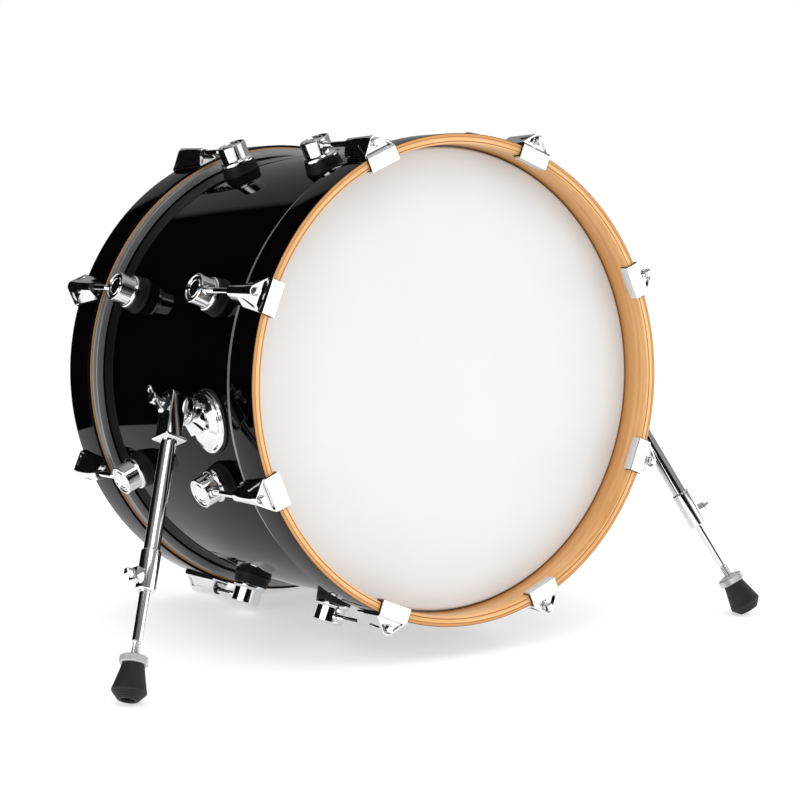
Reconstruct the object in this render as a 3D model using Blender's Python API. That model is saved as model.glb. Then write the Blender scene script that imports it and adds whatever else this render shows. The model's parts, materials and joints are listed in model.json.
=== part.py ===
"""An 18 by 12 inch bass drum with wooden hoops, claws, tube lugs and a pair of folding spurs.

The drum's axis runs along Y, with the front head at -Y. Every piece is modelled around the middle of the
drum and hangs from one empty, which leans the drum back onto its rear hoop and its two feet.
"""

import math

import bmesh
import bpy
from mathutils import Matrix, Vector

MM = 0.001
GAP = 0.3 * MM  # between pieces that touch

# Shell
SHELL_DIAMETER = 457.2 * MM
SHELL_DEPTH = 304.8 * MM
SHELL_WALL = 7.6 * MM
BEARING_FLAT = 1.0 * MM  # the crest that a head lies on
BEARING_ROUND = 1.5 * MM

# Drumheads: a film with a collar, bonded into an aluminium flesh hoop
FILM = 0.5 * MM
FLESH_WIDTH = 7.8 * MM
FLESH_HEIGHT = 11.0 * MM

# Wooden hoops
HOOP_THICKNESS = 10.3 * MM
HOOP_DEPTH = 42.0 * MM
HOOP_RISE = 34.6 * MM  # from the bearing edge to the hoop's outer edge
HOOP_ROUND = 1.2 * MM
HOOP_SLACK = 1.6 * MM  # between a hoop's bore and a head's collar

# Lugs, claws and tension rods, in one ring at each end
FITTINGS = 8
FIRST_FITTING = 22.5  # degrees from +X
LUG_SETBACK = 106.0 * MM  # from the hoop's outer edge to the lug's axis
LUG_DIAMETER = 30.0 * MM
LUG_COLLAR_RIM = 2.5 * MM  # how far the collar stands out past the barrel
LUG_COLLAR = 4.5 * MM
LUG_BASE_FLARE = 3.0 * MM  # how far the base stands out past the collar
LUG_BASE = 11.0 * MM
LUG_ABOVE_ROD = 7.4 * MM
CHAMFER = 0.8 * MM  # on turned metal pieces
ROD_HEIGHT = 11.5 * MM  # rod's axis above the hoop's outer surface
ROD_DIAMETER = 5.8 * MM
ROD_BORE_CLEARANCE = 0.5 * MM
ROD_GRIP = 7.5 * MM  # how far a rod runs past its lug's axis
ROD_FLANGE_DIAMETER = 9.8 * MM
ROD_FLANGE = 1.6 * MM
KEY_SQUARE = 6.3 * MM
KEY_LENGTH = 6.6 * MM
CLAW_WIDTH = 34.0 * MM
CLAW_LIP_THICKNESS = 3.2 * MM
CLAW_RETURN = 8.0 * MM  # how far the lip turns back inside the hoop
CLAW_RETURN_THICKNESS = 2.8 * MM
CLAW_LENGTH = 46.0 * MM
CLAW_TAIL_WIDTH = 19.0 * MM
CLAW_CREST_WIDTH = 5.0 * MM
CLAW_CREST_ABOVE_ROD = 6.6 * MM
CLAW_SHOULDER = 11.0 * MM
CLAW_POCKET_DIAMETER = 11.6 * MM
CLAW_POCKET = 4.0 * MM
CLAW_TAIL_DROP = 1.6 * MM

# Spurs
SPUR_ANGLE = 7.5  # degrees below the drum's middle, where a base sits on the shell
SPUR_SETBACK = 105.4 * MM  # from the front hoop's outer edge to the base's axis
SPUR_SPREAD = 23.2  # degrees that the leg leans outward
SPUR_RAKE = 18.7  # degrees that the leg leans forward
SPUR_STANDOFF = 42.0 * MM  # from the shell to the leg's axis, along the pivot
BASE_DIAMETER = 66.0 * MM
BASE_HEIGHT = 17.0 * MM
BASE_CROWN_DIAMETER = 40.0 * MM
BASE_TOP_DIAMETER = 24.0 * MM
BASE_CROWN_DROP = 2.4 * MM
BASE_SHOULDER_DIAMETER = 56.8 * MM
BASE_SHOULDER_HEIGHT = 8.5 * MM
BASE_RIM_HEIGHT = 3.7 * MM
HUB_DIAMETER = 28.0 * MM
BLOCK_WIDTH = 22.0 * MM
BLOCK_DEPTH = 20.0 * MM
BLOCK_ABOVE_PIVOT = 14.0 * MM
BLOCK_BELOW_PIVOT = 33.0 * MM
BLOCK_FLANGE = 2.6 * MM
BLOCK_FLANGE_RIM = 2.6 * MM
TUBE_WALL = 2.45 * MM
SLEEVE_WALL = 1.9 * MM  # of the sleeve on the tube
SLEEVE_START = 148.0 * MM  # distances along a leg are from its pivot
SLEEVE_LENGTH = 40.0 * MM
SLEEVE_CHAMFER = 1.2 * MM
BOSS_WIDTH = 13.0 * MM
BOSS_HEIGHT = 6.3 * MM  # from the sleeve to the boss's face
BOSS_FROM_SLEEVE_END = 13.0 * MM
INNER_ROD_DIAMETER = 10.0 * MM
TELESCOPE_CLEARANCE = 0.35 * MM
INNER_ROD_INSIDE = 84.0 * MM  # how much of the inner rod is in the tube and its sleeve
THREAD_START = 237.0 * MM
THREAD_DIAMETER = 9.0 * MM
THREAD_CLEARANCE = 0.35 * MM
SPIKE_POINT = 288.0 * MM
SPIKE_LENGTH = 7.0 * MM
NUT_START = 248.0 * MM
NUT_HEIGHT = 11.0 * MM
NUT_DIAMETER = 27.0 * MM
NUT_HUB_DIAMETER = 16.0 * MM
NUT_RIM = 6.0 * MM
FOOT_LENGTH = 33.6 * MM
FOOT_NECK_DIAMETER = 22.0 * MM
FOOT_DIAMETER = 33.0 * MM
FOOT_SOLE_DIAMETER = 20.0 * MM
FOOT_WIDEST = 24.0 * MM  # from the foot's top to its widest ring
FOOT_TREAD = 3.0 * MM
PIVOT_BOLT_DIAMETER = 8.0 * MM
PIVOT_BOLT_GRIP = 16.0 * MM  # how far the pivot bolt screws into the hub
PIVOT_BOLT_REACH = 12.0 * MM  # from the block's outer face to the wing's axis
WING_DIAMETER = 6.0 * MM
WING_LENGTH = 44.0 * MM
WING_HUB_DIAMETER = 11.0 * MM
WING_TURN = -48.0  # degrees from the drum's axis to the wing
KEY_BOLT_DIAMETER = 5.0 * MM
KEY_BOLT_FLANGE_DIAMETER = 9.0 * MM
KEY_BOLT_HEAD = 7.0 * MM

# Smoothness of round pieces
BIG_SEGMENTS = 64
BASE_SEGMENTS = 24
SEGMENTS = 16
LUG_SEGMENTS = 12
ROD_SEGMENTS = 8
SHARP_ANGLE = math.radians(35)
FLAT_ANGLE = math.radians(0.5)  # faces that meet at less are made one
MERGE_DISTANCE = 0.001 * MM

# The search for the lean at which the drum stands
MOST_LEAN = math.radians(20)
HALVINGS = 60

# Sizes that follow from the ones above
SHELL_RADIUS = SHELL_DIAMETER / 2
BEARING_EDGE = SHELL_DEPTH / 2
HOOP_EDGE = BEARING_EDGE + HOOP_RISE
HOOP_BACK = HOOP_EDGE - HOOP_DEPTH
COLLAR_RADIUS = SHELL_RADIUS + GAP + FILM
HOOP_BORE_RADIUS = COLLAR_RADIUS + HOOP_SLACK
HOOP_RADIUS = HOOP_BORE_RADIUS + HOOP_THICKNESS
ROD_RADIUS = ROD_DIAMETER / 2
ROD_BORE_RADIUS = ROD_RADIUS + ROD_BORE_CLEARANCE
ROD_FROM_AXIS = HOOP_RADIUS + ROD_HEIGHT
ROD_ABOVE_SHELL = ROD_FROM_AXIS - SHELL_RADIUS
LUG_RADIUS = LUG_DIAMETER / 2
LUG_COLLAR_RADIUS = LUG_RADIUS + LUG_COLLAR_RIM
LUG_BASE_RADIUS = LUG_COLLAR_RADIUS + LUG_BASE_FLARE
LUG_HEIGHT = ROD_ABOVE_SHELL + LUG_ABOVE_ROD
# The nearest that the middle of a hoop's flat facets comes to the drum's axis
HOOP_BORE_FLAT = HOOP_BORE_RADIUS * math.cos(math.pi / BIG_SEGMENTS)
# A claw's return clears the bore's curve at both of its sides
CLAW_THROAT = HOOP_RADIUS - math.sqrt(HOOP_BORE_FLAT**2 - (CLAW_WIDTH / 2) ** 2) + GAP
CLAW_LIP_DEPTH = CLAW_THROAT + CLAW_RETURN_THICKNESS
PIVOT_BORE_RADIUS = PIVOT_BOLT_DIAMETER / 2 + GAP
TELESCOPE_RADIUS = INNER_ROD_DIAMETER / 2 + TELESCOPE_CLEARANCE
TUBE_RADIUS = TELESCOPE_RADIUS + TUBE_WALL
SLEEVE_RADIUS = TUBE_RADIUS + SLEEVE_WALL
SLEEVE_END = SLEEVE_START + SLEEVE_LENGTH
BOSS_REACH = SLEEVE_RADIUS + BOSS_HEIGHT
KEY_BOLT_LEVEL = BOSS_FROM_SLEEVE_END - SLEEVE_END
INNER_ROD_START = SLEEVE_END - INNER_ROD_INSIDE
KEY_BOLT_TIP = INNER_ROD_DIAMETER / 2 + GAP
THREAD_BORE_RADIUS = THREAD_DIAMETER / 2 + THREAD_CLEARANCE
FOOT_START = NUT_START + NUT_HEIGHT + GAP
FOOT_END = FOOT_START + FOOT_LENGTH
SPUR_ROW = HOOP_EDGE - SPUR_SETBACK

CHROME = ("chrome", (0.82, 0.83, 0.85), 0.08, 1.0)
LACQUER = ("black_lacquer", (0.004, 0.004, 0.005), 0.06, 0.0)
MAPLE = ("maple", (0.72, 0.45, 0.22), 0.35, 0.0)
FILM_WHITE = ("white_film", (0.86, 0.86, 0.85), 0.42, 0.0)
RUBBER = ("black_rubber", (0.012, 0.012, 0.012), 0.75, 0.0)
STEEL = ("zinc_steel", (0.62, 0.63, 0.64), 0.28, 1.0)


def clear_scene():
    for thing in list(bpy.data.objects):
        bpy.data.objects.remove(thing)


def material(recipe):
    """The named material with its colour, roughness and metallic value."""
    name, colour, roughness, metallic = recipe
    made = bpy.data.materials.get(name)
    if made:
        return made
    made = bpy.data.materials.new(name)
    made.use_nodes = True
    shader = made.node_tree.nodes["Principled BSDF"]
    shader.inputs["Base Color"].default_value = (*colour, 1.0)
    shader.inputs["Roughness"].default_value = roughness
    shader.inputs["Metallic"].default_value = metallic
    made.diffuse_color = (*colour, 1.0)
    return made


def mesh_from(bm, name):
    """Closes a bmesh into a shaded mesh whose faces point out."""
    bmesh.ops.recalc_face_normals(bm, faces=bm.faces)
    mesh = bpy.data.meshes.new(name)
    bm.to_mesh(mesh)
    bm.free()
    mesh.shade_smooth()
    mesh.set_sharp_from_angle(angle=SHARP_ANGLE)
    return mesh


def turned(name, profile, segments, upright=True):
    """Spins a profile of (radius, height) points about Z, or about Y when it isn't upright.

    A profile that starts and ends on the axis is a solid, and any other is closed into a ring.
    """
    bm = bmesh.new()
    verts = [bm.verts.new((radius, 0, height)) for radius, height in profile]
    edges = [bm.edges.new(pair) for pair in zip(verts, verts[1:])]
    if profile[0][0] > 0:
        edges.append(bm.edges.new((verts[-1], verts[0])))
    bmesh.ops.spin(
        bm,
        geom=verts + edges,
        axis=(0, 0, 1),
        cent=(0, 0, 0),
        angle=math.tau,
        steps=segments,
        use_merge=True,
    )
    bmesh.ops.remove_doubles(bm, verts=bm.verts, dist=MERGE_DISTANCE)
    if not upright:
        bmesh.ops.rotate(bm, verts=bm.verts, matrix=Matrix.Rotation(math.radians(-90), 3, "X"))
    return mesh_from(bm, name)


def extruded(name, outline, width):
    """A prism along X, centred, over an outline of (y, z) points."""
    bm = bmesh.new()
    face = bm.faces.new([bm.verts.new((-width / 2, y, z)) for y, z in outline])
    moved = bmesh.ops.extrude_face_region(bm, geom=[face])
    verts = [part for part in moved["geom"] if isinstance(part, bmesh.types.BMVert)]
    bmesh.ops.translate(bm, verts=verts, vec=(width, 0, 0))
    return mesh_from(bm, name)


def rectangle(start, end, height):
    """Outline points of a rectangle that is centred on the Y axis."""
    return [(start, -height / 2), (end, -height / 2), (end, height / 2), (start, height / 2)]


def lofted(name, first, second):
    """A closed skin between two outlines that have the same number of points."""
    bm = bmesh.new()
    rings = [[bm.verts.new(point) for point in ring] for ring in (first, second)]
    edges = []
    for ring in rings:
        bm.faces.new(ring)
        edges += [bm.edges.get(pair) for pair in zip(ring, ring[1:] + ring[:1])]
    bmesh.ops.bridge_loops(bm, edges=edges)
    return mesh_from(bm, name)


def rod_mesh(name, radius, start, end, direction="Z", segments=SEGMENTS, chamfer=0.0):
    """A round bar from start to end along one of its own axes, with a chamfered far end."""
    low, high = min(start, end), max(start, end)
    bottom = [(0, low), (radius, low)]
    top = [(radius, high), (0, high)]
    if chamfer:
        top = [(radius, high - chamfer), (radius - chamfer, high), (0, high)]
    mesh = turned(name, bottom + top, segments)
    turns = {
        "X": Matrix.Rotation(math.radians(90), 4, "Y"),
        "Y": Matrix.Rotation(math.radians(-90), 4, "X"),
        "Z": Matrix.Identity(4),
    }
    mesh.transform(turns[direction])
    return mesh


def place(name, mesh, recipe, parent=None, matrix=None):
    """Puts a mesh in the scene as a named piece."""
    piece = bpy.data.objects.new(name, mesh)
    bpy.context.scene.collection.objects.link(piece)
    if not mesh.materials:
        mesh.materials.append(material(recipe))
    piece.parent = parent
    if matrix:
        piece.matrix_local = matrix
    return piece


def combined(name, base, added=(), cut=()):
    """One mesh out of a base, with meshes joined on and others cut away."""
    body = bpy.data.objects.new(name, base)
    scratch = [body]
    bpy.context.scene.collection.objects.link(body)
    for operation, meshes in (("UNION", added), ("DIFFERENCE", cut)):
        for mesh in meshes:
            tool = bpy.data.objects.new(mesh.name, mesh)
            bpy.context.scene.collection.objects.link(tool)
            scratch.append(tool)
            step = body.modifiers.new(mesh.name, "BOOLEAN")
            step.operation = operation
            step.object = tool
            step.solver = "EXACT"
    bpy.context.view_layer.update()
    depsgraph = bpy.context.evaluated_depsgraph_get()
    result = bpy.data.meshes.new_from_object(body.evaluated_get(depsgraph))
    for thing in scratch:
        bpy.data.objects.remove(thing)
    bm = bmesh.new()
    bm.from_mesh(result)
    bmesh.ops.dissolve_limit(
        bm, angle_limit=FLAT_ANGLE, verts=bm.verts, edges=bm.edges, delimit=set()
    )
    return mesh_from(bm, name)


def empty(name, parent=None, matrix=None):
    made = bpy.data.objects.new(name, None)
    bpy.context.scene.collection.objects.link(made)
    made.parent = parent
    if matrix:
        made.matrix_local = matrix
    return made


def around(angle, radius, along, faces_back=False):
    """Where a fitting sits: its own Z points away from the drum's axis, its own -Y towards its head."""
    turn = math.radians(angle)
    spot = Vector((radius * math.cos(turn), along, radius * math.sin(turn)))
    stand = Matrix.Rotation(math.pi / 2 - turn, 4, "Y")
    spin = Matrix.Rotation(math.pi if faces_back else 0, 4, "Z")
    return Matrix.Translation(spot) @ stand @ spin


# --- Shell, heads and hoops ---------------------------------------------------------------------------


def shell_mesh():
    """A plywood tube whose ends are cut to bearing edges: rounded outside, 45 degrees inside."""
    inner = SHELL_RADIUS - SHELL_WALL
    crest = SHELL_RADIUS - BEARING_ROUND
    lip = crest - BEARING_FLAT
    end = [
        (SHELL_RADIUS, BEARING_EDGE - BEARING_ROUND),
        (crest, BEARING_EDGE),
        (lip, BEARING_EDGE),
        (inner, BEARING_EDGE - (lip - inner)),
    ]
    other = [(radius, -height) for radius, height in reversed(end)]
    return turned("shell", end + other, BIG_SEGMENTS, upright=False)


def head_mesh():
    """A head at the +Y end: flat film, collar over the bearing edge, and the flesh hoop around it."""
    film_under = BEARING_EDGE + GAP
    collar = SHELL_RADIUS + GAP
    bend = BEARING_ROUND
    flesh_top = HOOP_BACK - GAP
    flesh_bottom = flesh_top - FLESH_HEIGHT
    outside = [
        (0, film_under + FILM),
        (COLLAR_RADIUS - bend - FILM / 2, film_under + FILM),
        (COLLAR_RADIUS, film_under - bend + FILM / 2),
        (COLLAR_RADIUS, flesh_top),
        (COLLAR_RADIUS + FLESH_WIDTH, flesh_top),
        (COLLAR_RADIUS + FLESH_WIDTH, flesh_bottom),
    ]
    inside = [
        (collar, flesh_bottom),
        (collar, film_under - bend),
        (collar - bend, film_under),
        (0, film_under),
    ]
    return turned("head", outside + inside, BIG_SEGMENTS, upright=False)


def hoop_mesh():
    """A wooden hoop at the +Y end, with its outer edge's corners rounded over."""
    profile = [
        (HOOP_RADIUS, HOOP_BACK),
        (HOOP_RADIUS, HOOP_EDGE - HOOP_ROUND),
        (HOOP_RADIUS - HOOP_ROUND, HOOP_EDGE),
        (HOOP_BORE_RADIUS + HOOP_ROUND, HOOP_EDGE),
        (HOOP_BORE_RADIUS, HOOP_EDGE - HOOP_ROUND),
        (HOOP_BORE_RADIUS, HOOP_BACK),
    ]
    return turned("hoop", profile, BIG_SEGMENTS, upright=False)


def make_drum(stance):
    head, hoop = head_mesh(), hoop_mesh()
    turn = Matrix.Rotation(math.pi, 4, "Z")
    place("shell", shell_mesh(), LACQUER, stance)
    place("rear_head", head, FILM_WHITE, stance)
    place("front_head", head, FILM_WHITE, stance, turn)
    place("rear_hoop", hoop, MAPLE, stance)
    place("front_hoop", hoop, MAPLE, stance, turn)


# --- Lugs, claws and tension rods ---------------------------------------------------------------------


def shell_cutter(height):
    """The space of the shell as a fitting on its surface meets it, with its axis a shell radius below.

    A segment's corner is under the fitting, as it is on the shell.
    """
    cutter = rod_mesh(
        "shell_cutter", SHELL_RADIUS + GAP, -height, height, direction="Y", segments=BIG_SEGMENTS
    )
    cutter.transform(Matrix.Translation((0, 0, -SHELL_RADIUS)))
    return cutter


def lug_mesh():
    """A single-ended tube lug: black base, collar, and a barrel that the rod screws into from one side."""
    collar_top = LUG_BASE + LUG_COLLAR
    profile = [
        (0, LUG_HEIGHT),
        (LUG_RADIUS - CHAMFER, LUG_HEIGHT),
        (LUG_RADIUS, LUG_HEIGHT - CHAMFER),
        (LUG_RADIUS, collar_top + CHAMFER),
        (LUG_COLLAR_RADIUS, collar_top - CHAMFER),
        (LUG_COLLAR_RADIUS + CHAMFER, LUG_BASE),
        (LUG_BASE_RADIUS, LUG_BASE / 3),
        (LUG_BASE_RADIUS, -LUG_BASE / 3),
        (0, -LUG_BASE / 3),
    ]
    body = turned("lug", profile, LUG_SEGMENTS)
    outside = -2 * LUG_BASE_RADIUS
    bore = rod_mesh("rod_bore", ROD_BORE_RADIUS, outside, ROD_GRIP + GAP, "Y", ROD_SEGMENTS)
    bore.transform(Matrix.Translation((0, 0, ROD_ABOVE_SHELL)))
    return combined("lug", body, cut=[shell_cutter(2 * LUG_BASE_RADIUS), bore])


def claw_mesh(bored=True):
    """A claw that hooks over the hoop's edge. Y = 0 is the hoop's edge and Z = 0 its outer surface."""
    front = -GAP - CLAW_LIP_THICKNESS
    step = CLAW_LIP_THICKNESS - GAP
    hook = [
        (front, step),
        (CLAW_LIP_THICKNESS, step),
        (CLAW_LIP_THICKNESS, GAP),
        (-GAP, GAP),
        (-GAP, -CLAW_THROAT),
        (CLAW_RETURN, -CLAW_THROAT),
        (CLAW_RETURN, -CLAW_LIP_DEPTH),
        (front, -CLAW_LIP_DEPTH),
    ]
    crest = ROD_HEIGHT + CLAW_CREST_ABOVE_ROD

    def section(y, half_width, foot_height, drop):
        half_crest, half_shoulder = CLAW_CREST_WIDTH / 2, CLAW_SHOULDER / 2
        right = [
            (half_width, GAP),
            (half_width, foot_height),
            (half_shoulder, crest - drop - half_crest),
            (half_crest, crest - drop),
        ]
        left = [(-x, z) for x, z in reversed(right)]
        return [Vector((x, y, z)) for x, z in right + left]

    front_half = CLAW_WIDTH / 2 - GAP
    tail_half = CLAW_TAIL_WIDTH / 2
    body = lofted(
        "claw_body",
        section(0, front_half, CLAW_LIP_THICKNESS, 0),
        section(CLAW_LENGTH, tail_half, CLAW_LIP_THICKNESS, CLAW_TAIL_DROP),
    )
    pocket_radius = CLAW_POCKET_DIAMETER / 2
    cuts = [rod_mesh("pocket", pocket_radius, -CLAW_POCKET, CLAW_POCKET, "Y", LUG_SEGMENTS)]
    if bored:
        beyond = 2 * CLAW_LENGTH
        cuts.append(rod_mesh("rod_bore", ROD_BORE_RADIUS, -beyond, beyond, "Y", ROD_SEGMENTS))
    for cutter in cuts:
        cutter.transform(Matrix.Translation((0, 0, ROD_HEIGHT)))
    return combined("claw", extruded("claw_hook", hook, CLAW_WIDTH), [body], cuts)


def tension_rod_mesh(flange_floor):
    """A key rod along Y at the rod's height: square head, flange and shaft."""
    flange_front = flange_floor - ROD_FLANGE
    tip = LUG_SETBACK + ROD_GRIP
    flange = ROD_FLANGE_DIAMETER / 2
    turn = Matrix.Rotation(math.radians(-90), 4, "X")
    profile = [
        (0, tip),
        (ROD_RADIUS - CHAMFER, tip),
        (ROD_RADIUS, tip - CHAMFER),
        (ROD_RADIUS, flange_floor),
        (flange, flange_floor),
        (flange, flange_front),
        (0, flange_front),
    ]
    shaft = turned("shaft", profile, ROD_SEGMENTS)
    shaft.transform(turn)
    key = extruded("key", rectangle(flange_front - KEY_LENGTH, flange_floor, KEY_SQUARE), KEY_SQUARE)
    return combined("tension_rod", shaft, [key])


def make_fittings(stance):
    """Each ring has a lug, a claw and a rod at every place. A rear claw and its rod are one piece."""
    free_rod = tension_rod_mesh(CLAW_POCKET - GAP)
    fixed_rod = tension_rod_mesh(CLAW_POCKET + GAP)
    fixed_rod.transform(Matrix.Translation((0, 0, ROD_HEIGHT)))
    claw_with_rod = combined("claw_with_rod", claw_mesh(bored=False), [fixed_rod])
    lug, claw = lug_mesh(), claw_mesh()
    lug_row = HOOP_EDGE - LUG_SETBACK
    kinds = (
        ("front_lug", lug, SHELL_RADIUS, -lug_row, False),
        ("rear_lug", lug, SHELL_RADIUS, lug_row, True),
        ("front_claw", claw, HOOP_RADIUS, -HOOP_EDGE, False),
        ("rear_claw", claw_with_rod, HOOP_RADIUS, HOOP_EDGE, True),
        ("front_tension_rod", free_rod, ROD_FROM_AXIS, -HOOP_EDGE, False),
    )
    for number in range(FITTINGS):
        angle = FIRST_FITTING + number * 360 / FITTINGS
        for kind, mesh, radius, along, faces_back in kinds:
            spot = around(angle, radius, along, faces_back)
            place(f"{kind}_{number + 1}", mesh, CHROME, stance, spot)


# --- Spurs --------------------------------------------------------------------------------------------
# A leg's own frame: X along the pivot and away from the drum, -Z down the leg.


def leg_frame(side):
    """The leg's frame in the drum's, for the left (-1) or right (+1) spur."""
    spread, rake = math.radians(SPUR_SPREAD), math.radians(SPUR_RAKE)
    pivot_axis = Vector((side * math.cos(spread), 0, math.sin(spread)))
    down = Vector((side * math.sin(spread), 0, -math.cos(spread)))
    leg = down * math.cos(rake) - Vector((0, 1, 0)) * math.sin(rake)
    foot_angle = math.radians(SPUR_ANGLE)
    on_shell = SHELL_RADIUS * Vector((side * math.cos(foot_angle), 0, -math.sin(foot_angle)))
    origin = on_shell + Vector((0, -SPUR_ROW, 0)) + pivot_axis * SPUR_STANDOFF
    up = -leg
    across = up.cross(pivot_axis)
    turn = Matrix((pivot_axis, across, up)).transposed().to_4x4()
    return Matrix.Translation(origin) @ turn


def base_mesh(side):
    """A domed base on the shell, with a hub that carries the leg's toothed face."""
    rim = BASE_DIAMETER / 2
    profile = [
        (0, BASE_HEIGHT),
        (BASE_TOP_DIAMETER / 2, BASE_HEIGHT),
        (BASE_CROWN_DIAMETER / 2, BASE_HEIGHT - BASE_CROWN_DROP),
        (BASE_SHOULDER_DIAMETER / 2, BASE_SHOULDER_HEIGHT),
        (rim, BASE_RIM_HEIGHT),
        (rim, -BASE_RIM_HEIGHT),
        (0, -BASE_RIM_HEIGHT),
    ]
    seat = around(180 + SPUR_ANGLE if side < 0 else -SPUR_ANGLE, SHELL_RADIUS, -SPUR_ROW)
    in_seat = seat.inverted() @ leg_frame(side)
    face = -BLOCK_DEPTH / 2 - GAP
    hub = rod_mesh("hub", HUB_DIAMETER / 2, -SPUR_STANDOFF, face, "X", SEGMENTS)
    bore = rod_mesh("pivot_bore", PIVOT_BORE_RADIUS, face - PIVOT_BOLT_GRIP - GAP, 0, "X", SEGMENTS)
    for mesh in (hub, bore):
        mesh.transform(in_seat)
    body = turned("base", profile, BASE_SEGMENTS)
    return seat, combined("spur_base", body, [hub], [shell_cutter(BASE_DIAMETER), bore])


def leg_mesh():
    """Block, outer tube, end sleeve and key boss, bored for the inner rod and both bolts."""
    top = BLOCK_ABOVE_PIVOT
    bottom = -BLOCK_BELOW_PIVOT
    half = BLOCK_WIDTH / 2
    corner = BLOCK_WIDTH / 4
    outline = [
        (-half, bottom),
        (half, bottom),
        (half, top - corner),
        (half - corner, top),
        (corner - half, top),
        (-half, top - corner),
    ]
    block = extruded("block", outline, BLOCK_DEPTH)
    flange_half = half + BLOCK_FLANGE_RIM
    flange_height = BLOCK_FLANGE + GAP
    flange = extruded(
        "flange", rectangle(-flange_half, flange_half, flange_height), BLOCK_DEPTH + 2 * BLOCK_FLANGE_RIM
    )
    flange.transform(Matrix.Translation((0, 0, bottom - BLOCK_FLANGE + flange_height / 2)))
    tube = rod_mesh("tube", TUBE_RADIUS, -SLEEVE_START - SLEEVE_CHAMFER, bottom + BLOCK_FLANGE)
    sleeve = rod_mesh("sleeve", SLEEVE_RADIUS, -SLEEVE_END, -SLEEVE_START, chamfer=SLEEVE_CHAMFER)
    boss = extruded("boss", rectangle(-BOSS_WIDTH / 2, BOSS_WIDTH / 2, BOSS_WIDTH), BOSS_REACH)
    boss.transform(Matrix.Translation((BOSS_REACH / 2, 0, KEY_BOLT_LEVEL)))
    bore_top = bottom - BLOCK_FLANGE - TUBE_WALL
    bore = rod_mesh("rod_bore", TELESCOPE_RADIUS, -SLEEVE_END - BOSS_WIDTH, bore_top)
    pivot = rod_mesh("pivot_bore", PIVOT_BORE_RADIUS, -BLOCK_DEPTH, BLOCK_DEPTH, "X")
    key = rod_mesh("key_bore", KEY_BOLT_DIAMETER / 2 + GAP, 0, 2 * BOSS_REACH, "X")
    key.transform(Matrix.Translation((0, 0, KEY_BOLT_LEVEL)))
    return combined("spur_leg", block, [flange, tube, sleeve, boss], [bore, pivot, key])


def inner_rod_mesh():
    """The sliding rod: a plain shaft, a thinner threaded end and a spike."""
    radius, thread = INNER_ROD_DIAMETER / 2, THREAD_DIAMETER / 2
    profile = [
        (0, -INNER_ROD_START),
        (radius, -INNER_ROD_START),
        (radius, -THREAD_START),
        (thread, -THREAD_START - (radius - thread)),
        (thread, -SPIKE_POINT + SPIKE_LENGTH),
        (thread / 4, -SPIKE_POINT),
        (0, -SPIKE_POINT),
    ]
    return turned("inner_rod", profile, SEGMENTS)


def nut_mesh():
    """A knurled lock nut: a hub above a thin round rim."""
    rim_top = -NUT_START - NUT_HEIGHT + NUT_RIM
    profile = [
        (NUT_HUB_DIAMETER / 2, -NUT_START),
        (NUT_HUB_DIAMETER / 2, rim_top),
        (NUT_DIAMETER / 2, rim_top),
        (NUT_DIAMETER / 2, -NUT_START - NUT_HEIGHT),
        (THREAD_BORE_RADIUS, -NUT_START - NUT_HEIGHT),
        (THREAD_BORE_RADIUS, -NUT_START),
    ]
    return turned("lock_nut", profile, SEGMENTS)


def foot_mesh():
    """A rubber foot that widens to a tread and narrows to its sole."""
    widest = -FOOT_START - FOOT_WIDEST
    profile = [
        (FOOT_NECK_DIAMETER / 2, -FOOT_START),
        (FOOT_DIAMETER / 2, widest),
        (FOOT_DIAMETER / 2, widest - FOOT_TREAD),
        (FOOT_SOLE_DIAMETER / 2, -FOOT_END),
        (THREAD_BORE_RADIUS, -FOOT_END),
        (THREAD_BORE_RADIUS, -FOOT_START),
    ]
    return turned("rubber_foot", profile, SEGMENTS)


def wing_bolt_mesh():
    """The pivot's clamping bolt, with a bar across its head for the hand."""
    wing_centre = BLOCK_DEPTH / 2 + PIVOT_BOLT_REACH
    shaft_end = -BLOCK_DEPTH / 2 - GAP - PIVOT_BOLT_GRIP
    hub_start, hub_end = BLOCK_DEPTH / 2 + GAP, wing_centre + WING_DIAMETER
    half_wing = WING_LENGTH / 2
    shaft = rod_mesh("bolt_shaft", PIVOT_BOLT_DIAMETER / 2, shaft_end, wing_centre, "X")
    hub = rod_mesh("bolt_hub", WING_HUB_DIAMETER / 2, hub_start, hub_end, "X")
    wing = rod_mesh("bolt_wing", WING_DIAMETER / 2, -half_wing, half_wing, "Y", LUG_SEGMENTS)
    wing.transform(Matrix.Translation((wing_centre, 0, 0)))
    return combined("wing_bolt", shaft, [hub, wing])


def key_bolt_mesh():
    """A square-headed bolt in the sleeve's boss that clamps the inner rod."""
    seat = BOSS_REACH + GAP
    flange_top = seat + ROD_FLANGE
    shaft = rod_mesh("key_shaft", KEY_BOLT_DIAMETER / 2, KEY_BOLT_TIP, flange_top, "X", LUG_SEGMENTS)
    flange = rod_mesh("key_flange", KEY_BOLT_FLANGE_DIAMETER / 2, seat, flange_top, "X", LUG_SEGMENTS)
    half = KEY_SQUARE / 2
    head = extruded("key_head", rectangle(-half, half, KEY_SQUARE), KEY_BOLT_HEAD)
    head.transform(Matrix.Translation((flange_top - ROD_FLANGE / 2 + KEY_BOLT_HEAD / 2, 0, 0)))
    return combined("key_bolt", shaft, [flange, head])


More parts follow.
